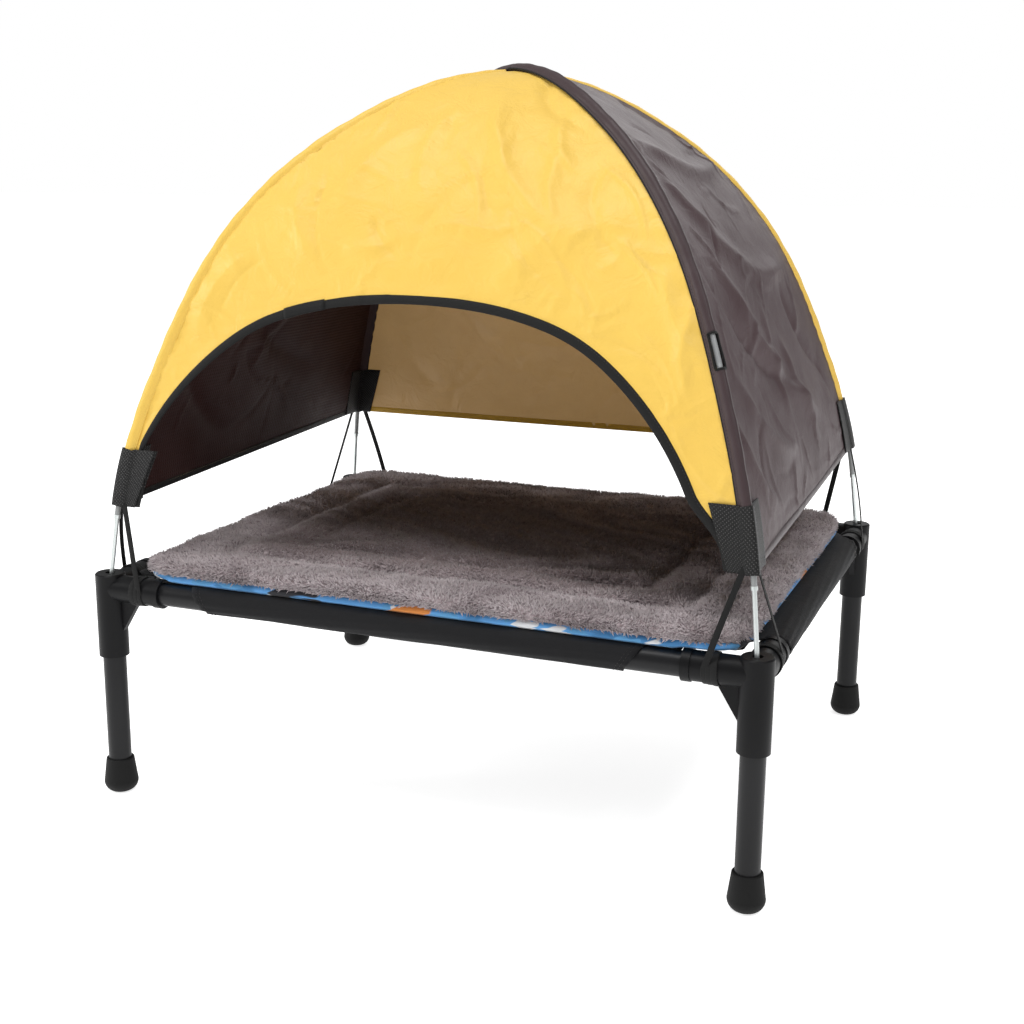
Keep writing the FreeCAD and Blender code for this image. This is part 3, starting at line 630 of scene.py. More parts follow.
def downAt(side, height):
    return np.interp(farAt(vault, height), vault["far"], sides[side]["down"])


def seamAcross(side, down):
    far = np.interp(down, sides[side]["down"], vault["far"])
    return read(vault, "reach", far) * sides[side]["spread"]


# folds in the panels
# each fold: start and end (across, down), half width and height of its ridge
folds = {
    "front": [
        (0.02, 0.08, 0.125, 0.27, 0.012, 0.0032), (-0.05, 0.13, -0.125, 0.27, 0.020, 0.0026),
        (0.10, 0.13, 0.13, 0.20, 0.009, 0.0026), (0.20, 0.25, 0.06, 0.335, 0.028, 0.0042),
        (0.00, 0.26, 0.11, 0.25, 0.007, 0.0020), (0.11, 0.17, 0.127, 0.265, 0.008, 0.0022),
        (-0.11, 0.29, -0.045, 0.277, 0.008, 0.0022), (-0.18, 0.22, -0.13, 0.31, 0.018, 0.0026),
        (-0.08, 0.255, -0.04, 0.30, 0.007, -0.0024), (0.03, 0.20, 0.06, 0.255, 0.008, -0.0020),
        (0.28, 0.33, 0.278, 0.43, 0.010, 0.0030), (-0.22, 0.30, -0.27, 0.40, 0.018, 0.0030),
        (0.06, 0.05, 0.10, 0.13, 0.008, -0.0022), (-0.02, 0.10, -0.03, 0.24, 0.010, 0.0018),
        (0.15, 0.20, 0.20, 0.30, 0.012, -0.0024), (0.24, 0.30, 0.30, 0.40, 0.012, 0.0026),
    ],
    "right": [
        (0.06, 0.10, 0.14, 0.19, 0.016, -0.0018), (-0.125, 0.19, 0.15, 0.215, 0.017, 0.0075),
        (-0.13, 0.245, -0.07, 0.31, 0.013, 0.0048), (-0.11, 0.30, 0.17, 0.36, 0.020, 0.0060),
        (-0.13, 0.335, 0.135, 0.54, 0.018, 0.0066), (-0.16, 0.38, 0.07, 0.495, 0.014, -0.0050),
        (-0.24, 0.49, -0.14, 0.60, 0.011, 0.0042), (0.03, 0.44, 0.105, 0.57, 0.013, 0.0046),
        (-0.10, 0.20, -0.165, 0.245, 0.009, 0.0032), (0.0, 0.39, -0.02, 0.53, 0.010, 0.0030),
        (-0.20, 0.45, -0.02, 0.56, 0.013, 0.0040), (0.10, 0.38, 0.20, 0.50, 0.012, -0.0036),
    ],
    "left": [
        (-0.12, 0.20, 0.14, 0.25, 0.018, 0.0050), (-0.14, 0.33, 0.12, 0.52, 0.020, 0.0050),
        (0.15, 0.36, -0.05, 0.50, 0.015, -0.0040), (-0.20, 0.45, -0.08, 0.58, 0.012, 0.0036),
        (0.05, 0.15, 0.12, 0.28, 0.012, 0.0032),
    ],
    "back": [
        (-0.05, 0.12, -0.15, 0.28, 0.016, 0.0030), (0.04, 0.15, 0.15, 0.30, 0.016, 0.0034),
        (-0.20, 0.36, -0.06, 0.50, 0.016, 0.0050), (0.02, 0.38, 0.14, 0.52, 0.014, 0.0050),
        (0.16, 0.34, 0.06, 0.49, 0.012, -0.0040), (-0.28, 0.42, -0.22, 0.52, 0.012, 0.0036),
        (0.22, 0.40, 0.30, 0.50, 0.014, 0.0044), (-0.10, 0.44, 0.02, 0.43, 0.010, 0.0032),
    ],
}
crumples = {
    "seed": 11,
    "count": {"front": 170, "back": 120, "left": 50, "right": 60},
    "length": (0.025, 0.125),
    "width": (0.0018, 0.0050),
    "height": (0.0006, 0.0021),
    "bold": {"front": 1.5, "back": 1.6, "left": 1.1, "right": 1.15},     # how much the big folds stand out
    "bend": 0.12,
    "waves": 0.0022,
    "pucker": 0.0010,
    "puckerPitch": 0.019,
}


def foldsOf(side, across, down, reach):
    lift = np.zeros_like(across)
    chance = random.Random(crumples["seed"] + len(side) + ord(side[0]))
    ridges = [(*fold[:5], fold[5] * crumples["bold"][side]) for fold in folds[side]]
    lowest = float(down.max())
    for number in range(crumples["count"][side]):
        startDown = 0.05 + (lowest - 0.06) * math.sqrt(chance.random())
        startAcross = (chance.random() * 1.8 - 0.9) * float(seamAcross(side, startDown))
        heading = chance.uniform(0, 2 * math.pi)
        length = chance.uniform(*crumples["length"])
        ridges.append((
            startAcross, startDown, startAcross + length * math.cos(heading),
            startDown + length * math.sin(heading), chance.uniform(*crumples["width"]),
            chance.uniform(*crumples["height"]) * chance.choice((1, 1, -1)),
        ))
    for x0, y0, x1, y1, width, height in ridges:
        length = math.hypot(x1 - x0, y1 - y0)
        alongX, alongY = (x1 - x0) / length, (y1 - y0) / length
        forward = (across - x0) * alongX + (down - y0) * alongY
        off = (down - y0) * alongX - (across - x0) * alongY
        part = forward / length
        off = off - crumples["bend"] * length * np.sin(np.clip(part, 0, 1) * math.pi)
        fade = smoothStep(part / 0.3 + 0.25) * smoothStep((1 - part) / 0.4 + 0.25)
        lift += height * fade * (1 + (off / width) ** 2) ** -1.2 * np.exp(-np.abs(off) / (width * 3))
    rough = np.array([
        noise.fractal(Vector((x * 7, y * 7, len(side) * 3.1)), 0.8, 2.1, 3)
        for x, y in zip(across.ravel(), down.ravel())
    ]).reshape(across.shape)
    lift += rough * crumples["waves"]
    puckers = np.sin(down / crumples["puckerPitch"] * 2 * math.pi + 3 * np.sin(down * 31))
    lift += crumples["pucker"] * puckers * np.exp(-reach / 0.014)
    return lift * smoothStep(reach / 0.02 + 0.12)     # sewn down at its edges


def gridNormals(points):
    return unit(np.cross(np.gradient(points, axis=1), np.gradient(points, axis=0)))


panelGrids = {}


# the cloth without its folds, which gives its area, the cloth with them, and its flat places
def panelPoints(side, across, down, reach):
    flat, _ = onPanel(side, across, down)
    points, _ = onPanel(side, across, down, foldsOf(side, across, down, reach))
    return flat, points, np.stack([across, down], axis=-1)


def widePanel(side):
    rows, columns = 150, 140
    part = np.linspace(0.012, 1, rows)[:, None]
    turn = np.linspace(-1, 1, columns)[None, :]
    middleHem, slope = (hem["front"] + hem["back"]) / 2, (hem["back"] - hem["front"]) / (2 * halfWidth)
    if side in ("left", "right"):
        low = middleHem + slope * turn * halfWidth * 0.97
    else:
        low = hem["back"] + 0 * turn
    down = part * downAt(side, low)
    edge = np.maximum(seamAcross(side, down) - panel["seamInset"], 0.0)
    across = turn * edge
    reach = np.minimum(edge * (1 - np.abs(turn)), (1 - part) * downAt(side, low))
    return panelPoints(side, across, down, reach)


def archLine(count):
    half = bowLine(arch["turns"], arch["halfWidth"], arch["crown"] - arch["foot"], arch["crown"])
    far = np.linspace(-1, 1, count)
    reach = np.interp(np.abs(far), np.linspace(0, 1, len(half["reach"])), half["reach"]) * np.sign(far)
    height = np.interp(np.abs(far), np.linspace(0, 1, len(half["height"])), half["height"])
    lean = smoothStep((height - arch["leanFrom"]) / (arch["leanTo"] - arch["leanFrom"]))
    reach = reach + arch["lean"] * lean
    return reach, height, far


def frontPanel():
    rows, columns = 76, 300
    reach, height, far = archLine(columns)
    archDown = downAt("front", height)
    total = downAt("front", arch["foot"])
    outerDown = (0.006 + 0.994 * np.abs(far)) * total
    edge = np.maximum(seamAcross("front", outerDown) - panel["seamInset"], 0.0)
    outerAcross = edge * np.sign(far + 1e-12)
    limit = seamAcross("front", archDown) - 0.016
    archAcross = np.clip(reach, -limit, limit)
    part = np.linspace(0, 1, rows)[:, None]
    across = archAcross + (outerAcross - archAcross) * part
    down = archDown + (outerDown - archDown) * part
    seam = seamAcross("front", down) - np.abs(across)
    fromArch = part * np.hypot(outerAcross - archAcross, outerDown - archDown)
    return panelPoints("front", across, down, np.minimum(seam, fromArch - 0.008))


panelLooks = {
    "front": ("canopyFront", ["yellowCloth", "yellowInside"], "yellow_fabric", (0.71, 0.53)),
    "back": ("canopyBack", ["yellowCloth", "yellowInside"], "yellow_fabric", (0.71, 0.56)),
    "left": ("canopyLeft", ["brownCloth", "brownInside"], "brown_fabric", (0.56, 0.63)),
    "right": ("canopyRight", ["brownCloth", "brownInside"], "brown_fabric", (0.56, 0.63)),
}
for side, (name, materials, slot, flatSize) in panelLooks.items():
    flat, points, uv = frontPanel() if side == "front" else widePanel(side)
    panelGrids[side] = points
    piece = sheetPiece(name, points, uv, panel["thickness"], materials)
    place(piece, "canopy", slot, f"canopy_{side}")


# binding and hems, folded over the panels' free edges
binding = {
    "width": 0.0088,
    "thick": 0.0026,
    "overhang": 0.0012,
    "round": 0.36,
    "joinFrom": -0.165,      # the tape's two ends lap here
    "joinTo": -0.118,
    "joinThick": 0.0012,
    "joinWider": 0.001,
    "joinOverhang": 0.0006,
}
threads = {"pitch": 0.0034, "fromEdge": 0.0066}
hemLooks = {
    "back": ("ochreTape", "ochre_hem", "yellowThread"),
    "left": ("bindingTape", "binding", "paleThread"),
    "right": ("seamCloth", "seam_fabric", "darkThread"),
}


def edgeTape(edge, inner, normal, width, thick, overhang):
    side = unit(inner - edge)
    side = unit(side - normal * (side * normal).sum(-1, keepdims=True))
    section = tapeSection(width + overhang, thick, binding["round"])
    return sweptMesh(edge - side * overhang, side, normal, section)


def addArchBinding():
    grid = panelGrids["front"]
    normal = gridNormals(grid)
    normal = (normal * np.sign((normal * np.array([0, -1, 0.3])).sum(-1).mean()))[3]
    steps = np.linalg.norm(np.diff(grid, axis=0), axis=-1).cumsum(0)
    innerAt = np.clip((steps < 0.008).sum(0) + 1, 1, 60)
    edge, inner = grid[0], grid[innerAt, np.arange(grid.shape[1])]
    width, thick, overhang = binding["width"], binding["thick"], binding["overhang"]
    lapped = (edge[:, 0] > binding["joinFrom"]) & (edge[:, 0] < binding["joinTo"]) & (edge[:, 2] > 0.5)
    tape = joined([
        edgeTape(edge, inner, normal, width, thick, overhang),
        edgeTape(edge[lapped], inner[lapped], normal[lapped], width + binding["joinWider"],
                 thick + 2 * binding["joinThick"], overhang + binding["joinOverhang"]),
    ])
    place(addMade("archBinding", tape, "bindingTape", closed=True), "canopy", "binding", "arch_binding")
    onTape = edge + unit(inner - edge) * threads["fromEdge"] + normal * (thick / 2)
    stitches = addMade("archStitches", stitchMesh(onTape, normal, threads["pitch"]), "darkThread")
    place(stitches, "canopy", "binding")


def addHem(side, finish, slot, thread):
    grid = panelGrids[side]
    normal = gridNormals(grid)
    normal = (normal * np.sign((normal * sides[side]["outward"]).sum(-1).mean()))[-3]
    edge, inner = grid[-1], grid[-4]
    tape = edgeTape(edge, inner, normal, hem["width"], hem["thick"], hem["overhang"])
    piece = addMade(f"hem{side.capitalize()}", tape, finish, closed=True)
    place(piece, "canopy", slot, f"hem_{side}")
    onHem = edge + unit(inner - edge) * hem["stitchAt"]
    half = normal * (hem["thick"] / 2)
    lines = joined([stitchMesh(onHem + half * face, normal * face) for face in (1, -1)])
    place(addMade(f"hemStitches{side.capitalize()}", lines, thread), "canopy", slot)


addArchBinding()
for side, looks in hemLooks.items():
    addHem(side, *looks)
print("binding and hems")


# pole sleeves
sleeve = {
    "start": {"a": 0.011, "b": 0.0},     # distance from the crossing; the upper pole's sleeve runs on
    "cloths": {"a": ("yellowCloth", "yellow_fabric"), "b": ("seamCloth", "seam_fabric")},
    "bulge": 0.0052,       # outside of the cloth round a ferrule
    "flange": 0.0085,      # sewn edge on each side
    "flangeThick": 0.0011,
    "cloth": 0.0007,
    "slotHeight": 0.534,
    "slotHalf": 0.017,
    "step": 0.0035,
    "piping": (0.0010, 0.0012),
}
slotEdge = [(-0.0011, -0.0006), (-0.0011, 0.0005), (0, 0.0010), (0.0011, 0.0005), (0.0011, -0.0006)]
tabSize = {"height": 0.062, "frontReach": (0.034, 0.057), "sideReach": (0.050, 0.054)}   # foot, top


def tabFoot(corner):
    return hem["back"] if corner[0] == "b" else hem["front"]


# a seam's line, the direction out from it, and those along and out from each panel beside it
def seamFrame(corner, far):
    signX, signY = corners[corner]
    line = poleBows[poleOf[corner]]
    diagonal = np.array([signX * halfLength, signY * halfWidth, 0.0]) / socketReach
    angle = read(line, "angle", far)[..., None]
    centre = diagonal * read(line, "reach", far)[..., None] + upward * read(line, "height", far)[..., None]
    along = diagonal * np.cos(angle) - upward * np.sin(angle)
    out = diagonal * np.sin(angle) + upward * np.cos(angle)
    beside = []
    for direction, outward, share in (
        (np.array([-signX, 0, 0.0]), np.array([0, signY, 0.0]), halfWidth / socketReach),
        (np.array([0, -signY, 0.0]), np.array([signX, 0, 0.0]), halfLength / socketReach),
    ):
        normal = unit(outward * np.sin(angle) + upward * share * np.cos(angle))
        level = direction - along * (along * direction).sum(-1, keepdims=True)
        beside.append((unit(level), normal))
    return centre, out, beside


# the closed outline of a sleeve, from one sewn edge over the pole to the other and back below it
def sleeveRing(far, out, beside):
    bulge = sleeve["bulge"] * (1 + 0.05 * np.sin(far * 90) + 0.04 * np.sin(far * 213 + 1))[:, None]
    flange, thick = sleeve["flange"], sleeve["flangeThick"]
    sewn = [(flange, thick), (flange * 0.74, thick * 1.3)]
    above, below = [], []
    for level, normal in beside:
        above.append([level * wide + normal * high for wide, high in sewn]
                     + [level * (bulge * 0.98) + normal * (bulge * 0.42),
                        level * (bulge * 0.66) + normal * (bulge * 0.80),
                        unit(normal + out) * bulge])
        below.append([level * wide - normal * high for wide, high in sewn]
                     + [level * (bulge * 0.90) - normal * (bulge * 0.60)])
    crest, hollow = [out * bulge * 1.02], [-out * bulge * 1.02]
    return above[0] + crest + above[1][::-1] + below[1] + hollow + below[0][::-1]


# black edging round the slot
def addSlotEdge(corner, points, out, first, last):
    rim = np.concatenate([points[first:last + 1, 3], points[last, 4:7],
                          points[first:last + 1, 7][::-1], points[first, 4:7][::-1]])
    rim = respaced(np.concatenate([rim, rim[:1]]), 60)[:-1]
    outRim = np.repeat(out[(first + last) // 2][None], len(rim), 0)
    forward = unit(np.roll(rim, -1, 0) - np.roll(rim, 1, 0))
    side = unit(np.cross(forward, outRim))
    section = np.array(slotEdge)[None]
    loop = rim[:, None, :] + side[:, None, :] * section[..., :1] + outRim[:, None, :] * section[..., 1:]
    loop = np.concatenate([loop, loop[:1]], axis=0)
    rows, columns = loop.shape[:2]
    piece = addObject(f"slotEdge{corner.upper()}", loop, quadsOf(rows, columns, loop=True), ["bindingTape"],
                      np.zeros((rows * columns, 2)))
    facesOutward(piece.data, weld=True)
    place(piece, "canopy", "binding")


def addSleeve(corner):
    line = poleBows[poleOf[corner]]
    end = float(farAt(line, tabFoot(corner) + tabSize["height"] - 0.004))
    start = sleeve["start"][poleOf[corner]]
    finish, slot = sleeve["cloths"][poleOf[corner]]
    far = np.linspace(start, end, int((end - start) / sleeve["step"]))
    centre, out, beside = seamFrame(corner, far)
    points = centre[:, None, :] + np.stack(sleeveRing(far, out, beside), axis=1)
    points = np.concatenate([points, points[:, :1]], axis=1)
    inSlot = np.abs(far - float(farAt(line, sleeve["slotHeight"]))) < sleeve["slotHalf"]
    slotted = poleOf[corner] == "b"
    window = np.zeros(points.shape[:2], bool)
    window[inSlot, 3:7] = slotted
    flat = np.stack(np.meshgrid(distances(points[0]), far), axis=-1)
    kept = ~window[:-1, :-1].ravel()
    faces = [quad for quad, whole in zip(quadsOf(*points.shape[:2]), kept) if whole]
    piece = addObject(f"poleSleeve{corner.upper()}", points, faces, [finish], flat)
    facesOutward(piece.data, weld=True)
    thicken = piece.modifiers.new("cloth", "SOLIDIFY")
    thicken.thickness, thicken.offset = sleeve["cloth"], -1.0
    applied(piece).data.shade_smooth()
    place(piece, "canopy", slot, f"pole_sleeve_{corner}")
    if slotted:
        rows = np.where(inSlot)[0]
        addSlotEdge(corner, points, out, rows[0], rows[-1] + 1)
    # a row of stitches along each sewn edge, and the dark cord beside the front and back panels
    lines = joined([
        stitchMesh(centre + level * (sleeve["flange"] * 0.80) + normal * (sleeve["flangeThick"] * 1.25),
                   normal, threads["pitch"])
        for level, normal in beside
    ])
    dark = slot == "seam_fabric"
    piece = addMade(f"sleeveStitches{corner.upper()}", lines, "darkThread" if dark else "yellowThread")
    place(piece, "canopy", slot)
    level, normal = beside[0 if dark else 1]
    wide, high = sleeve["piping"]
    ring = [(math.cos(k * math.pi / 4) * wide, math.sin(k * math.pi / 4) * high) for k in range(8)]
    piping = sweptMesh(centre + level * (sleeve["flange"] + 0.0004), level, normal, ring)
    place(addMade(f"seamPiping{corner.upper()}", piping, "bindingTape", closed=True), "canopy", "binding")


for corner in corners:
    addSleeve(corner)
print("pole sleeves")


# webbing tabs
webTab = {
    "thick": 0.0015,
    "lift": 0.0021,
    "rows": 26,
    "round": 0.0072,       # over the pole, and beside it: sideways and outward
    "shoulder": (0.0030, 0.0067),
    "fillet": (0.0056, 0.0046),
    "within": (0.0060, 0.0046, 0.0068),
    "beside": 0.0088,      # where the flat cloth begins
    "frill": 0.0012,
    "stitches": (0.004, 0.003, 0.0003),
}


def tabSheet(corner, face):
    signX, signY = corners[corner]
    line = poleBows[poleOf[corner]]
    low = tabFoot(corner)
    heights = np.linspace(low + tabSize["height"], low - 0.0005, webTab["rows"])
    far = farAt(line, heights)
    centre, out, ((one, oneNormal), (two, twoNormal)) = seamFrame(corner, far)
    frontSide = "front" if signY < 0 else "back"
    longSide = "left" if signX < 0 else "right"
    rise = (heights - low) / tabSize["height"]
    reachX = halfLength - np.interp(rise, (0, 1), tabSize["frontReach"])
    reachY = halfWidth - np.interp(rise, (0, 1), tabSize["sideReach"])
    columns = []
    lift, beside = webTab["lift"] * face, webTab["beside"]
    seamX, seamY = np.abs(centre[:, 0]), np.abs(centre[:, 1])
    for part in np.linspace(0, 1, 12):
        across = reachX + (seamX - beside - reachX) * part
        point, _ = onPanel(frontSide, across * signX, downAt(frontSide, heights), lift)
        columns.append(point)
    if face > 0:
        (wide, high), (flat, rise) = webTab["fillet"], webTab["shoulder"]
        columns += [centre + one * wide + oneNormal * high, centre + one * flat + out * rise,
                    centre + out * webTab["round"],
                    centre + two * flat + out * rise, centre + two * wide + twoNormal * high]
    else:
        wide, high, deep = webTab["within"]
        columns += [centre + one * wide - oneNormal * high, centre - out * deep,
                    centre + two * wide - twoNormal * high]
    for part in np.linspace(0, 1, 14):
        across = seamY - beside + (reachY - seamY + beside) * part
        point, _ = onPanel(longSide, across * signY, downAt(longSide, heights), lift)
        columns.append(point)
    points = np.stack(columns, axis=1)
    wave = np.sin(np.linspace(0, 9, points.shape[1]) + len(corner) + signX)[None, :, None]
    fall = np.linspace(0, 1, webTab["rows"])[:, None, None]
    points = points + out[:, None, :] * wave * fall * webTab["frill"] * 0.5 * face
    return points, np.stack(np.meshgrid(distances(points[3]), low - heights + heights[0]), axis=-1)


for corner in corners:
    for face, name in ((1, "Out"), (-1, "In")):
        points, uv = tabSheet(corner, face)
        piece = sheetPiece(f"tabFace{corner.upper()}{name}", points, uv, webTab["thick"], ["webbing"])
        normal = unit(points[-1] - np.array([0, 0, points[-1, 0, 2]])) * face
        lift = normal * (webTab["thick"] / 2 + 0.0002)
        rows = (points[3], points[-4])
        lines = joined([stitchMesh(row + lift, normal, *webTab["stitches"]) for row in rows])
        place(addMade(f"tabStitches{corner.upper()}{name}", lines, "darkThread"), "canopy", "webbing")
        place(piece, "canopy", "webbing", *([f"tab_{corner}"] if face > 0 else []))
print("webbing tabs")


# elastics
elastic = {
    "width": 0.0062,
    "thick": 0.0010,
    "setback": 0.0475,       # from the corner along the arm
    "turns": 2.3,
    "pitch": 0.0048,
    "spread": 0.035,         # how much the last turn stands off the first
    "slack": 0.0015,
    "armRadius": 0.0150,
    "gussetHalf": 0.0036,
    "gussetFrom": 0.046,     # where the gusset starts below the arm, and its slope from there
    "gussetSlope": 0.061 / 0.0378,
}


def wrapOutline(depth):
    radius = elastic["armRadius"] + elastic["thick"] * 0.6
    turns = np.linspace(0, 2 * math.pi, 121)[:-1]
    cloud = [(radius * math.cos(a), radius * math.sin(a)) for a in turns]
    if depth > radius:
        cloud += [(elastic["gussetHalf"] * s, -depth) for s in (-1, 1)]
    cloud = sorted(cloud)
    hull = []
    for run in (cloud, cloud[::-1]):                 # convex outline round the arm and its gusset
        chain = []
        for point in run:
            while len(chain) > 1 and ((chain[-1][0] - chain[-2][0]) * (point[1] - chain[-2][1])
                                      - (chain[-1][1] - chain[-2][1]) * (point[0] - chain[-2][0])) <= 0:
                chain.pop()
            chain.append(point)
        hull += chain[:-1]
    hull = np.array(hull)
    angle = np.arctan2(hull[:, 1], hull[:, 0])
    order = np.argsort(angle)
    return angle[order], hull[order]


def bandPath(corner, axis):
    signX, signY = corners[corner]
    low = tabFoot(corner)
    foot = seamFrame(corner, np.array([float(farAt(poleBows[poleOf[corner]], low))]))[0][0]
    inward, outward = np.array([-signX, 0.0, 0.0]), np.array([0, signY, 0.0])
    if axis == "y":
        inward, outward = -outward, -inward
    armStart = np.array([signX * halfLength, signY * halfWidth, railHeight])
    top = foot + inward * 0.0085 + outward * 0.0016 + upward * 0.006
    radius = elastic["armRadius"] + elastic["thick"] * 0.6
    across = float((top - armStart) @ outward), float(top[2] - railHeight)
    touch = math.atan2(across[1], across[0]) - math.acos(radius / math.hypot(*across))
    start = armStart + inward * elastic["setback"]
    start = start + outward * (radius * math.cos(touch)) + upward * (radius * math.sin(touch))
    bowed = unit(np.cross(inward, start - top))
    points = []
    for part in np.linspace(0, 1, 24)[:-1]:
        sag = elastic["slack"] * math.sin(part * math.pi)
        points.append(top + (start - top) * part + bowed * sag + outward * sag)
    count = int(elastic["turns"] * 60)
    for step in range(count):
        turned = elastic["turns"] * step / count
        angle = touch - turned * 2 * math.pi
        back = elastic["setback"] - elastic["pitch"] * turned
        depth = elastic["gussetSlope"] * max(0.0, elastic["gussetFrom"] - back)
        angles, hull = wrapOutline(depth + 0.0006)
        angle = math.atan2(math.sin(angle), math.cos(angle))
        a, b = (np.interp(angle, angles, hull[:, k], period=2 * math.pi) for k in (0, 1))
        grow = 1 + elastic["spread"] * step / count
        points.append(armStart + inward * back + outward * (a * grow) + upward * (b * grow))
    path = np.array(points)
    return path, np.repeat(inward[None], len(path), 0)


bandHalf = [(0.42, 0.5), (0.5, 0.3), (0.5, -0.3), (0.42, -0.5)]
bandOutline = [(-0.5, -0.3), (-0.5, 0.3), (-0.42, 0.5), *bandHalf, (-0.42, -0.5)]
bandSection = [(a * elastic["width"], b * elastic["thick"]) for a, b in bandOutline]
for corner in corners:
    bands = []
    for axis in "xy":
        path, width = bandPath(corner, axis)
        forward = unit(np.gradient(path, axis=0))
        across = unit(width - forward * (forward * width).sum(-1, keepdims=True))
        bands.append(sweptMesh(path, across, np.cross(forward, across), bandSection))
    piece = addMade(f"elastic{corner.upper()}", joined(bands), "elasticBand", closed=True)
    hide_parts(f"elastic_{corner}")
    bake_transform(piece)
print("elastics")


# sling
sling = {
    "top": 0.2548,
    "longEnd": 0.248,      # half length of the front and back sleeves at the rail's top
    "shortEnd": 0.212,     # half length of the side sleeves
    "under": 0.020,        # how much shorter a sleeve is underneath
    "skin": 0.0139,
    "thick": 0.0011,
    "flap": 0.034,         # from the rail to the seam that closes the sleeve
    "sag": 0.0012,
    "clear": 0.0195,       # how far the cloth stays from the middle of a connector's arm
    "stitches": (0.0038, 0.0028, 0.0003),
}


def slingSheet():
    rows, columns = 220, 110
    y = np.linspace(-halfWidth, halfWidth, rows)[:, None]
    turn = np.linspace(-1, 1, columns)[None, :]
    clear = sling["clear"]
    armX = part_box("connector_fr")[0].x - 0.003
    armY = -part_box("connector_fr")[1].y - 0.003
    edge = np.interp(
        np.abs(y), [armY, armY + 0.004, halfWidth - 0.027, halfWidth - clear, halfWidth - clear + 0.003],
        [halfLength, halfLength - clear, halfLength - clear, halfLength - 0.028, armX],
    )
    x = turn * edge
    hollow = (1 - (x / halfLength) ** 2) * (1 - (y / halfWidth) ** 2)
    z = sling["top"] - 0.0006 - sling["sag"] * hollow
    return np.stack([x, y + 0 * x, z], axis=-1)


def sleeveSheet(direction, middle, inward, halfEnd):
    around = np.concatenate([np.linspace(-sling["flap"], 0, 8)[:-1], np.linspace(0, math.pi, 26),
                             math.pi + np.linspace(0, sling["flap"], 8)[1:]])
    columns = 90
    turn = np.linspace(-1, 1, columns)
    points = np.zeros((len(around), columns, 3))
    flat = np.zeros((len(around), columns, 2))
    radius = sling["skin"]
    reached = 0.0
    for row, value in enumerate(around):
        if value < 0:
            offset, height = inward * -value, radius
            slope = -value * (halfLength - sling["longEnd"]) / (halfWidth - sling["shortEnd"])
            end = halfEnd + (slope if direction[0] else -value * 1.5)
        elif value <= math.pi:
            offset, height = -inward * (radius * math.sin(value)), radius * math.cos(value)
            end = halfEnd - sling["under"] * smoothStep(value / math.pi)
        else:
            rise = (value - math.pi) / sling["flap"]
            offset = inward * (value - math.pi)
            height = -radius + (2 * radius - 0.003) * smoothStep(rise)
            end = halfEnd - sling["under"] - 0.004 * rise
        base = middle + offset + upward * height
        points[row] = base + direction * (turn * end)[:, None]
        creases = 0.0005 * np.sin(turn * end * 41 + row * 0.5) * np.sin(turn * end * 17 + row * 0.9)
        gather = 0.0007 * np.exp(-(1 - np.abs(turn)) * end / 0.03) * np.sin(row * 1.3 + turn * 5)
        if 0 <= value <= math.pi:
            outDirection = -inward * math.sin(value) + upward * math.cos(value)
            points[row] += outDirection * (creases + gather)[:, None]
        flat[row, :, 0] = turn * end
        flat[row, :, 1] = reached
        reached += 0.0017
    return points, flat


points = slingSheet()
bedSling = sheetPiece("bedSling", points, points[..., :2].copy(), sling["thick"], ["slingCloth"], (0, 0, 0))
place(bedSling, "frame", "sling_fabric", "bed_sling")
for name, direction, middle, inward, end in (
    ("Front", (1, 0, 0), (0, -halfWidth, railHeight), (0, 1, 0), sling["longEnd"] + 0.006),
    ("Back", (1, 0, 0), (0, halfWidth, railHeight), (0, -1, 0), sling["longEnd"] + 0.006),
    ("Left", (0, 1, 0), (-halfLength, 0, railHeight), (1, 0, 0), sling["shortEnd"]),
    ("Right", (0, 1, 0), (halfLength, 0, railHeight), (-1, 0, 0), sling["shortEnd"]),
):
    direction, middle, inward = (np.array(value, float) for value in (direction, middle, inward))
    points, flat = sleeveSheet(direction, middle, inward, end)
    piece = sheetPiece(f"slingSleeve{name}", points, flat, sling["thick"], ["slingCloth"],
                       middle=tuple(middle + inward * 0.02))
    place(piece, "frame", "sling_fabric")
    lines = []
    for back in (0.006, 0.010):
        for sign in (-1, 1):
            column = points[7:33, 0 if sign < 0 else -1] - direction * (sign * back)
            out = unit(column - (middle + direction * (column @ direction)[:, None]))
            lines.append(stitchMesh(column + out * 0.0008, out, *sling["stitches"]))
    place(addMade(f"sleeveEnds{name}", joined(lines), "darkThread"), "frame", "sling_fabric")
print("sling")


# mat
matBox = (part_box("mat_underside")[0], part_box("mat_plush")[1])
mat = {
    "corner": 0.045,
    "rim": 0.016,
    "rimLow": 0.0075,      # the plush edge above the underside
    "fromTop": 0.004,      # room above the cloth for the pile
    "channels": ((0.072, 0.0060, 0.010), (0.130, 0.0070, 0.011)),   # inset, depth, half width
    "puff": 0.0040,
    "wobble": 0.0016,
    "paintedShadeFrom": 0.060,      # inside this the pile's tips get a painted shade, darker and browner, for the canopy's shadow
    "paintedShadeFade": 0.050,
    "seed": 5,
    "tufts": 120000,
    "tuftLength": (0.0040, 0.0075),
    "tuftWidth": 0.0014,
    "skirt": 0.0085,       # the pile's lower edge above the underside
    "lower": 0.0023,       # how far the cloth sinks between the corners' rings
}
matMiddle = np.array([(matBox[0].x + matBox[1].x) / 2, (matBox[0].y + matBox[1].y) / 2])
matHalf = np.array([(matBox[1].x - matBox[0].x) / 2, (matBox[1].y - matBox[0].y) / 2])
matLow, matHigh = matBox[0].z, matBox[1].z


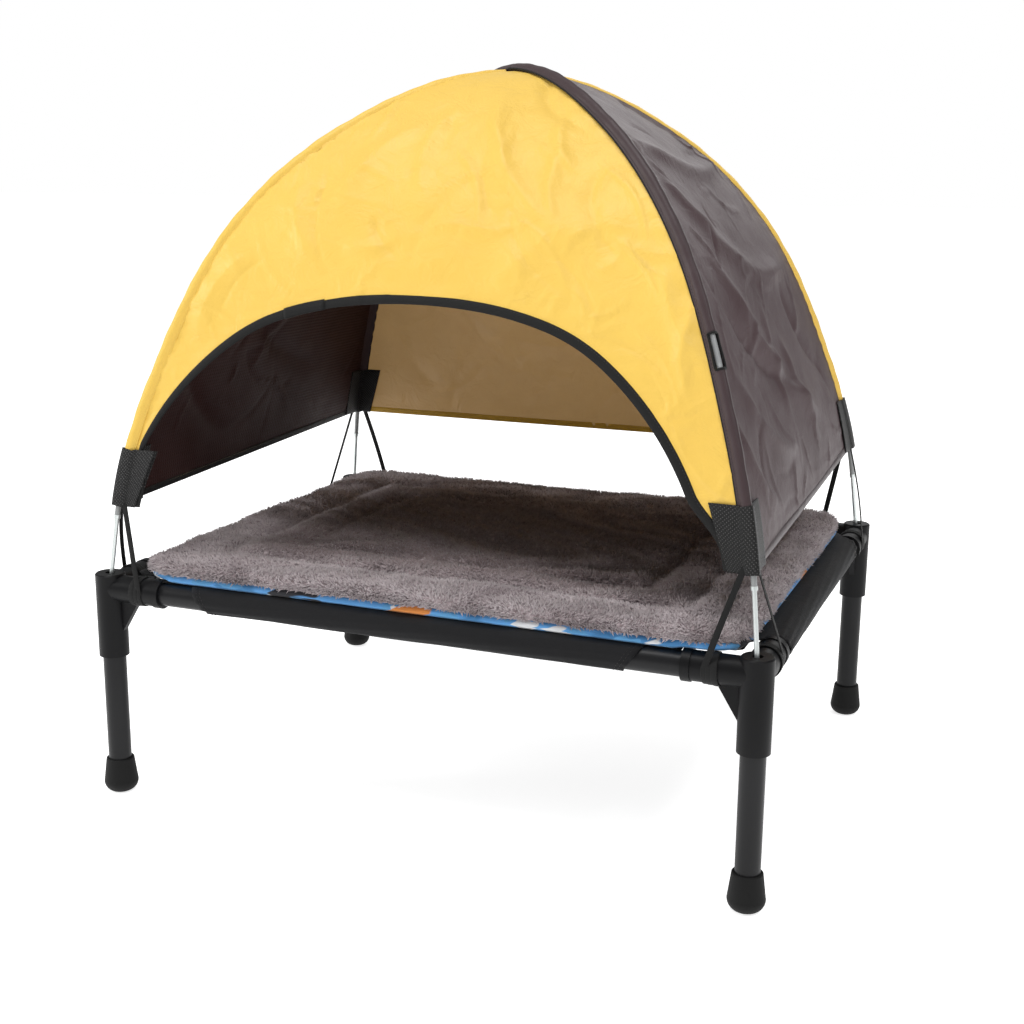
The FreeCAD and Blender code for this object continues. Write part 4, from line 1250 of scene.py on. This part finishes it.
def roundedGrid(rows, columns, half, corner):
    u, v = np.meshgrid(np.linspace(-1, 1, columns), np.linspace(-1, 1, rows))
    x, y = u * half[0], v * half[1]
    p = np.clip((np.abs(x) - (half[0] - corner)) / corner, 0, 1)
    q = np.clip((np.abs(y) - (half[1] - corner)) / corner, 0, 1)
    inCorner = (p > 0) & (q > 0)
    px, qy = p * np.sqrt(1 - q * q / 2), q * np.sqrt(1 - p * p / 2)
    x = np.where(inCorner, np.sign(x) * (half[0] - corner + px * corner), x)
    y = np.where(inCorner, np.sign(y) * (half[1] - corner + qy * corner), y)
    return x, y


def insetOf(x, y, half, corner):
    qx, qy = np.abs(x) - (half[0] - corner), np.abs(y) - (half[1] - corner)
    outside = np.hypot(np.maximum(qx, 0), np.maximum(qy, 0)) + np.minimum(np.maximum(qx, qy), 0) - corner
    return -outside


def smoothNoise(x, y, scale, seed, octaves=2):
    values = [noise.fractal(Vector((a * scale, b * scale, seed)), 0.9, 2.0, octaves)
              for a, b in zip(x.ravel(), y.ravel())]
    return np.array(values).reshape(x.shape)


def matHeights(x, y):
    inset = insetOf(x, y, matHalf, mat["corner"])
    rim = mat["rim"]
    part = np.clip(inset / rim, 0, 1)
    crown = np.sqrt(np.maximum(0.0, 1 - (1 - part) ** 2))
    rimLow = matLow + mat["rimLow"]
    top = matHigh - mat["fromTop"] - rimLow
    height = rimLow + top * (0.30 + 0.70 * crown)
    for distance, depth, half in mat["channels"]:
        square = np.maximum(np.abs(x) - (matHalf[0] - distance), np.abs(y) - (matHalf[1] - distance))
        height -= depth * np.exp(-(square / half) ** 2)
    height += mat["puff"] * smoothNoise(x, y, 9.0, 2.3) * np.clip(inset / 0.03, 0, 1)
    return height, inset


def twoSided(rows, columns):
    return quadsOf(rows, columns) + quadsOf(rows, columns, flip=True, start=rows * columns)


def addPlush():
    rows, columns = 120, 146
    x, y = roundedGrid(rows, columns, matHalf - 0.002, mat["corner"])
    height, inset = matHeights(x, y)
    wobble = mat["wobble"] * smoothNoise(x, y, 26.0, 7.7)
    edge = np.clip(1 - inset / 0.02, 0, 1)
    outward = 1 + wobble * edge / 0.3
    top = np.stack([x * outward + matMiddle[0], y * outward + matMiddle[1], height + wobble], axis=-1)
    low = top.copy()
    low[..., 2] = np.minimum(matLow + mat["skirt"], top[..., 2] - 0.003)
    vertices = np.concatenate([top.reshape(-1, 3), low.reshape(-1, 3)])
    faces = twoSided(rows, columns)
    index = np.arange(rows * columns).reshape(rows, columns)
    ring = np.concatenate([index[0, :], index[1:, -1], index[-1, -2::-1], index[-2:0:-1, 0]])
    under = ring + rows * columns
    for k in range(len(ring)):
        following = (k + 1) % len(ring)
        faces.append([int(ring[k]), int(ring[following]), int(under[following]), int(under[k])])
    plush = addObject("matPlush", vertices, faces, ["plushPile"], closed=True)
    place(plush, "mat", "plush", "mat_plush")
    return plush


# the printed cover below, turned up round the edge
def addCover():
    half = matHalf - 0.0015
    rows, columns = 90, 110
    x, y = roundedGrid(rows, columns, half, mat["corner"])
    inset = insetOf(x, y, half, mat["corner"])
    bulge = np.clip(inset / 0.004, 0, 1)
    roundEdge = np.sqrt(np.maximum(0, 1 - (1 - bulge) ** 2))
    reachX, reachY = np.abs(x + matMiddle[0]), np.abs(y + matMiddle[1])
    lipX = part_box("connector_fr")[0].x - 0.009
    lipY = -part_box("connector_fr")[1].y - 0.009
    held = np.maximum(np.exp(-((reachY - halfWidth) / 0.016) ** 2) * smoothStep((reachX - lipX) / 0.007),
                      np.exp(-((reachX - halfLength) / 0.016) ** 2) * smoothStep((reachY - lipY) / 0.007))
    lowest = matLow - mat["lower"] * (1 - held)
    topZ = lowest + 0.0045 + 0.0050 * roundEdge
    lowZ = lowest + 0.0045 - 0.0045 * roundEdge + 0.0004 * smoothNoise(x, y, 30, 1.1)
    top = np.stack([x + matMiddle[0], y + matMiddle[1], topZ], axis=-1)
    low = np.stack([x + matMiddle[0], y + matMiddle[1], np.maximum(lowZ, lowest)], axis=-1)
    low[[0, -1], :] = top[[0, -1], :]
    low[:, [0, -1]] = top[:, [0, -1]]
    vertices = np.concatenate([top.reshape(-1, 3), low.reshape(-1, 3)])
    faces = twoSided(rows, columns)
    cover = addObject("matCover", vertices, faces, ["matPrint"])
    facesOutward(cover.data, weld=True)
    place(cover, "mat", "printed_cover", "mat_underside", "mat_filling")


def addPile(plush):
    draw, count = np.random.default_rng(mat["seed"]), mat["tufts"]
    mesh = plush.data
    mesh.calc_loop_triangles()
    co = np.array([v.co for v in mesh.vertices])
    tri = np.array([t.vertices[:] for t in mesh.loop_triangles])
    a, b, c = co[tri[:, 0]], co[tri[:, 1]], co[tri[:, 2]]
    cross = np.cross(b - a, c - a)
    area = np.linalg.norm(cross, axis=1) / 2
    facing = unit(cross)
    area = area * (facing[:, 2] > -0.3)                # none underneath
    area = area * np.where(facing[:, 2] < 0.6, 2.2, 1.0)   # closer at the edge
    pick = draw.choice(len(tri), count, p=area / area.sum())
    u, v = draw.random(count), draw.random(count)
    over = u + v > 1
    u, v = np.where(over, 1 - u, u), np.where(over, 1 - v, v)
    base = a[pick] + (b - a)[pick] * u[:, None] + (c - a)[pick] * v[:, None]
    out = facing[pick]
    x, y = base[:, 0], base[:, 1]
    swirl = 5.0 * np.sin(x * 13 + 2 * np.sin(y * 17)) + 2.2 * np.sin(y * 31 + x * 9)
    lie = np.stack([np.cos(swirl), np.sin(swirl), -0.1 + 0 * swirl], axis=1)
    scatter = draw.normal(0, 0.42, (count, 3))
    heading = unit(out * 1.0 + lie * 0.5 + scatter)
    length = draw.uniform(*mat["tuftLength"], count)[:, None]
    side = unit(np.cross(heading, draw.normal(0, 1, (count, 3))))
    other = np.cross(heading, side)
    width = mat["tuftWidth"] * draw.uniform(0.6, 1.2, count)[:, None]
    base = base - out * 0.0012
    ring = [base + side * width * math.cos(turn) + other * width * math.sin(turn)
            for turn in (0, 2.0944, 4.1888)]
    tip = base + heading * length + lie * length * 0.18
    vertices = np.stack([*ring, tip], axis=1).reshape(-1, 3)
    start = np.arange(count)[:, None] * 4
    faces = np.concatenate([start + corner for corner in ([0, 1, 3], [1, 2, 3], [2, 0, 3], [2, 1, 0])])
    pile = addObject("matPile", vertices, faces.tolist(), ["plushPile"])
    height = pile.data.attributes.new("pileHeight", "FLOAT", "POINT")
    height.data.foreach_set("value", np.tile(np.array([0, 0, 0, 1], np.float32), count))
    inset = insetOf(*(base[:, :2] - matMiddle).T, matHalf, mat["corner"])
    # 1 near the mat's edge and 0 further in, where the pile gets its painted shade
    edge = pile.data.attributes.new("pileOutsidePaintedShade", "FLOAT", "POINT")
    outsidePaintedShade = smoothStep(1 - (inset - mat["paintedShadeFrom"]) / mat["paintedShadeFade"])
    edge.data.foreach_set("value", np.repeat(outsidePaintedShade, 4).astype(np.float32))
    place(pile, "mat", "plush")


plush = addPlush()
addCover()
addPile(plush)
print("mat")
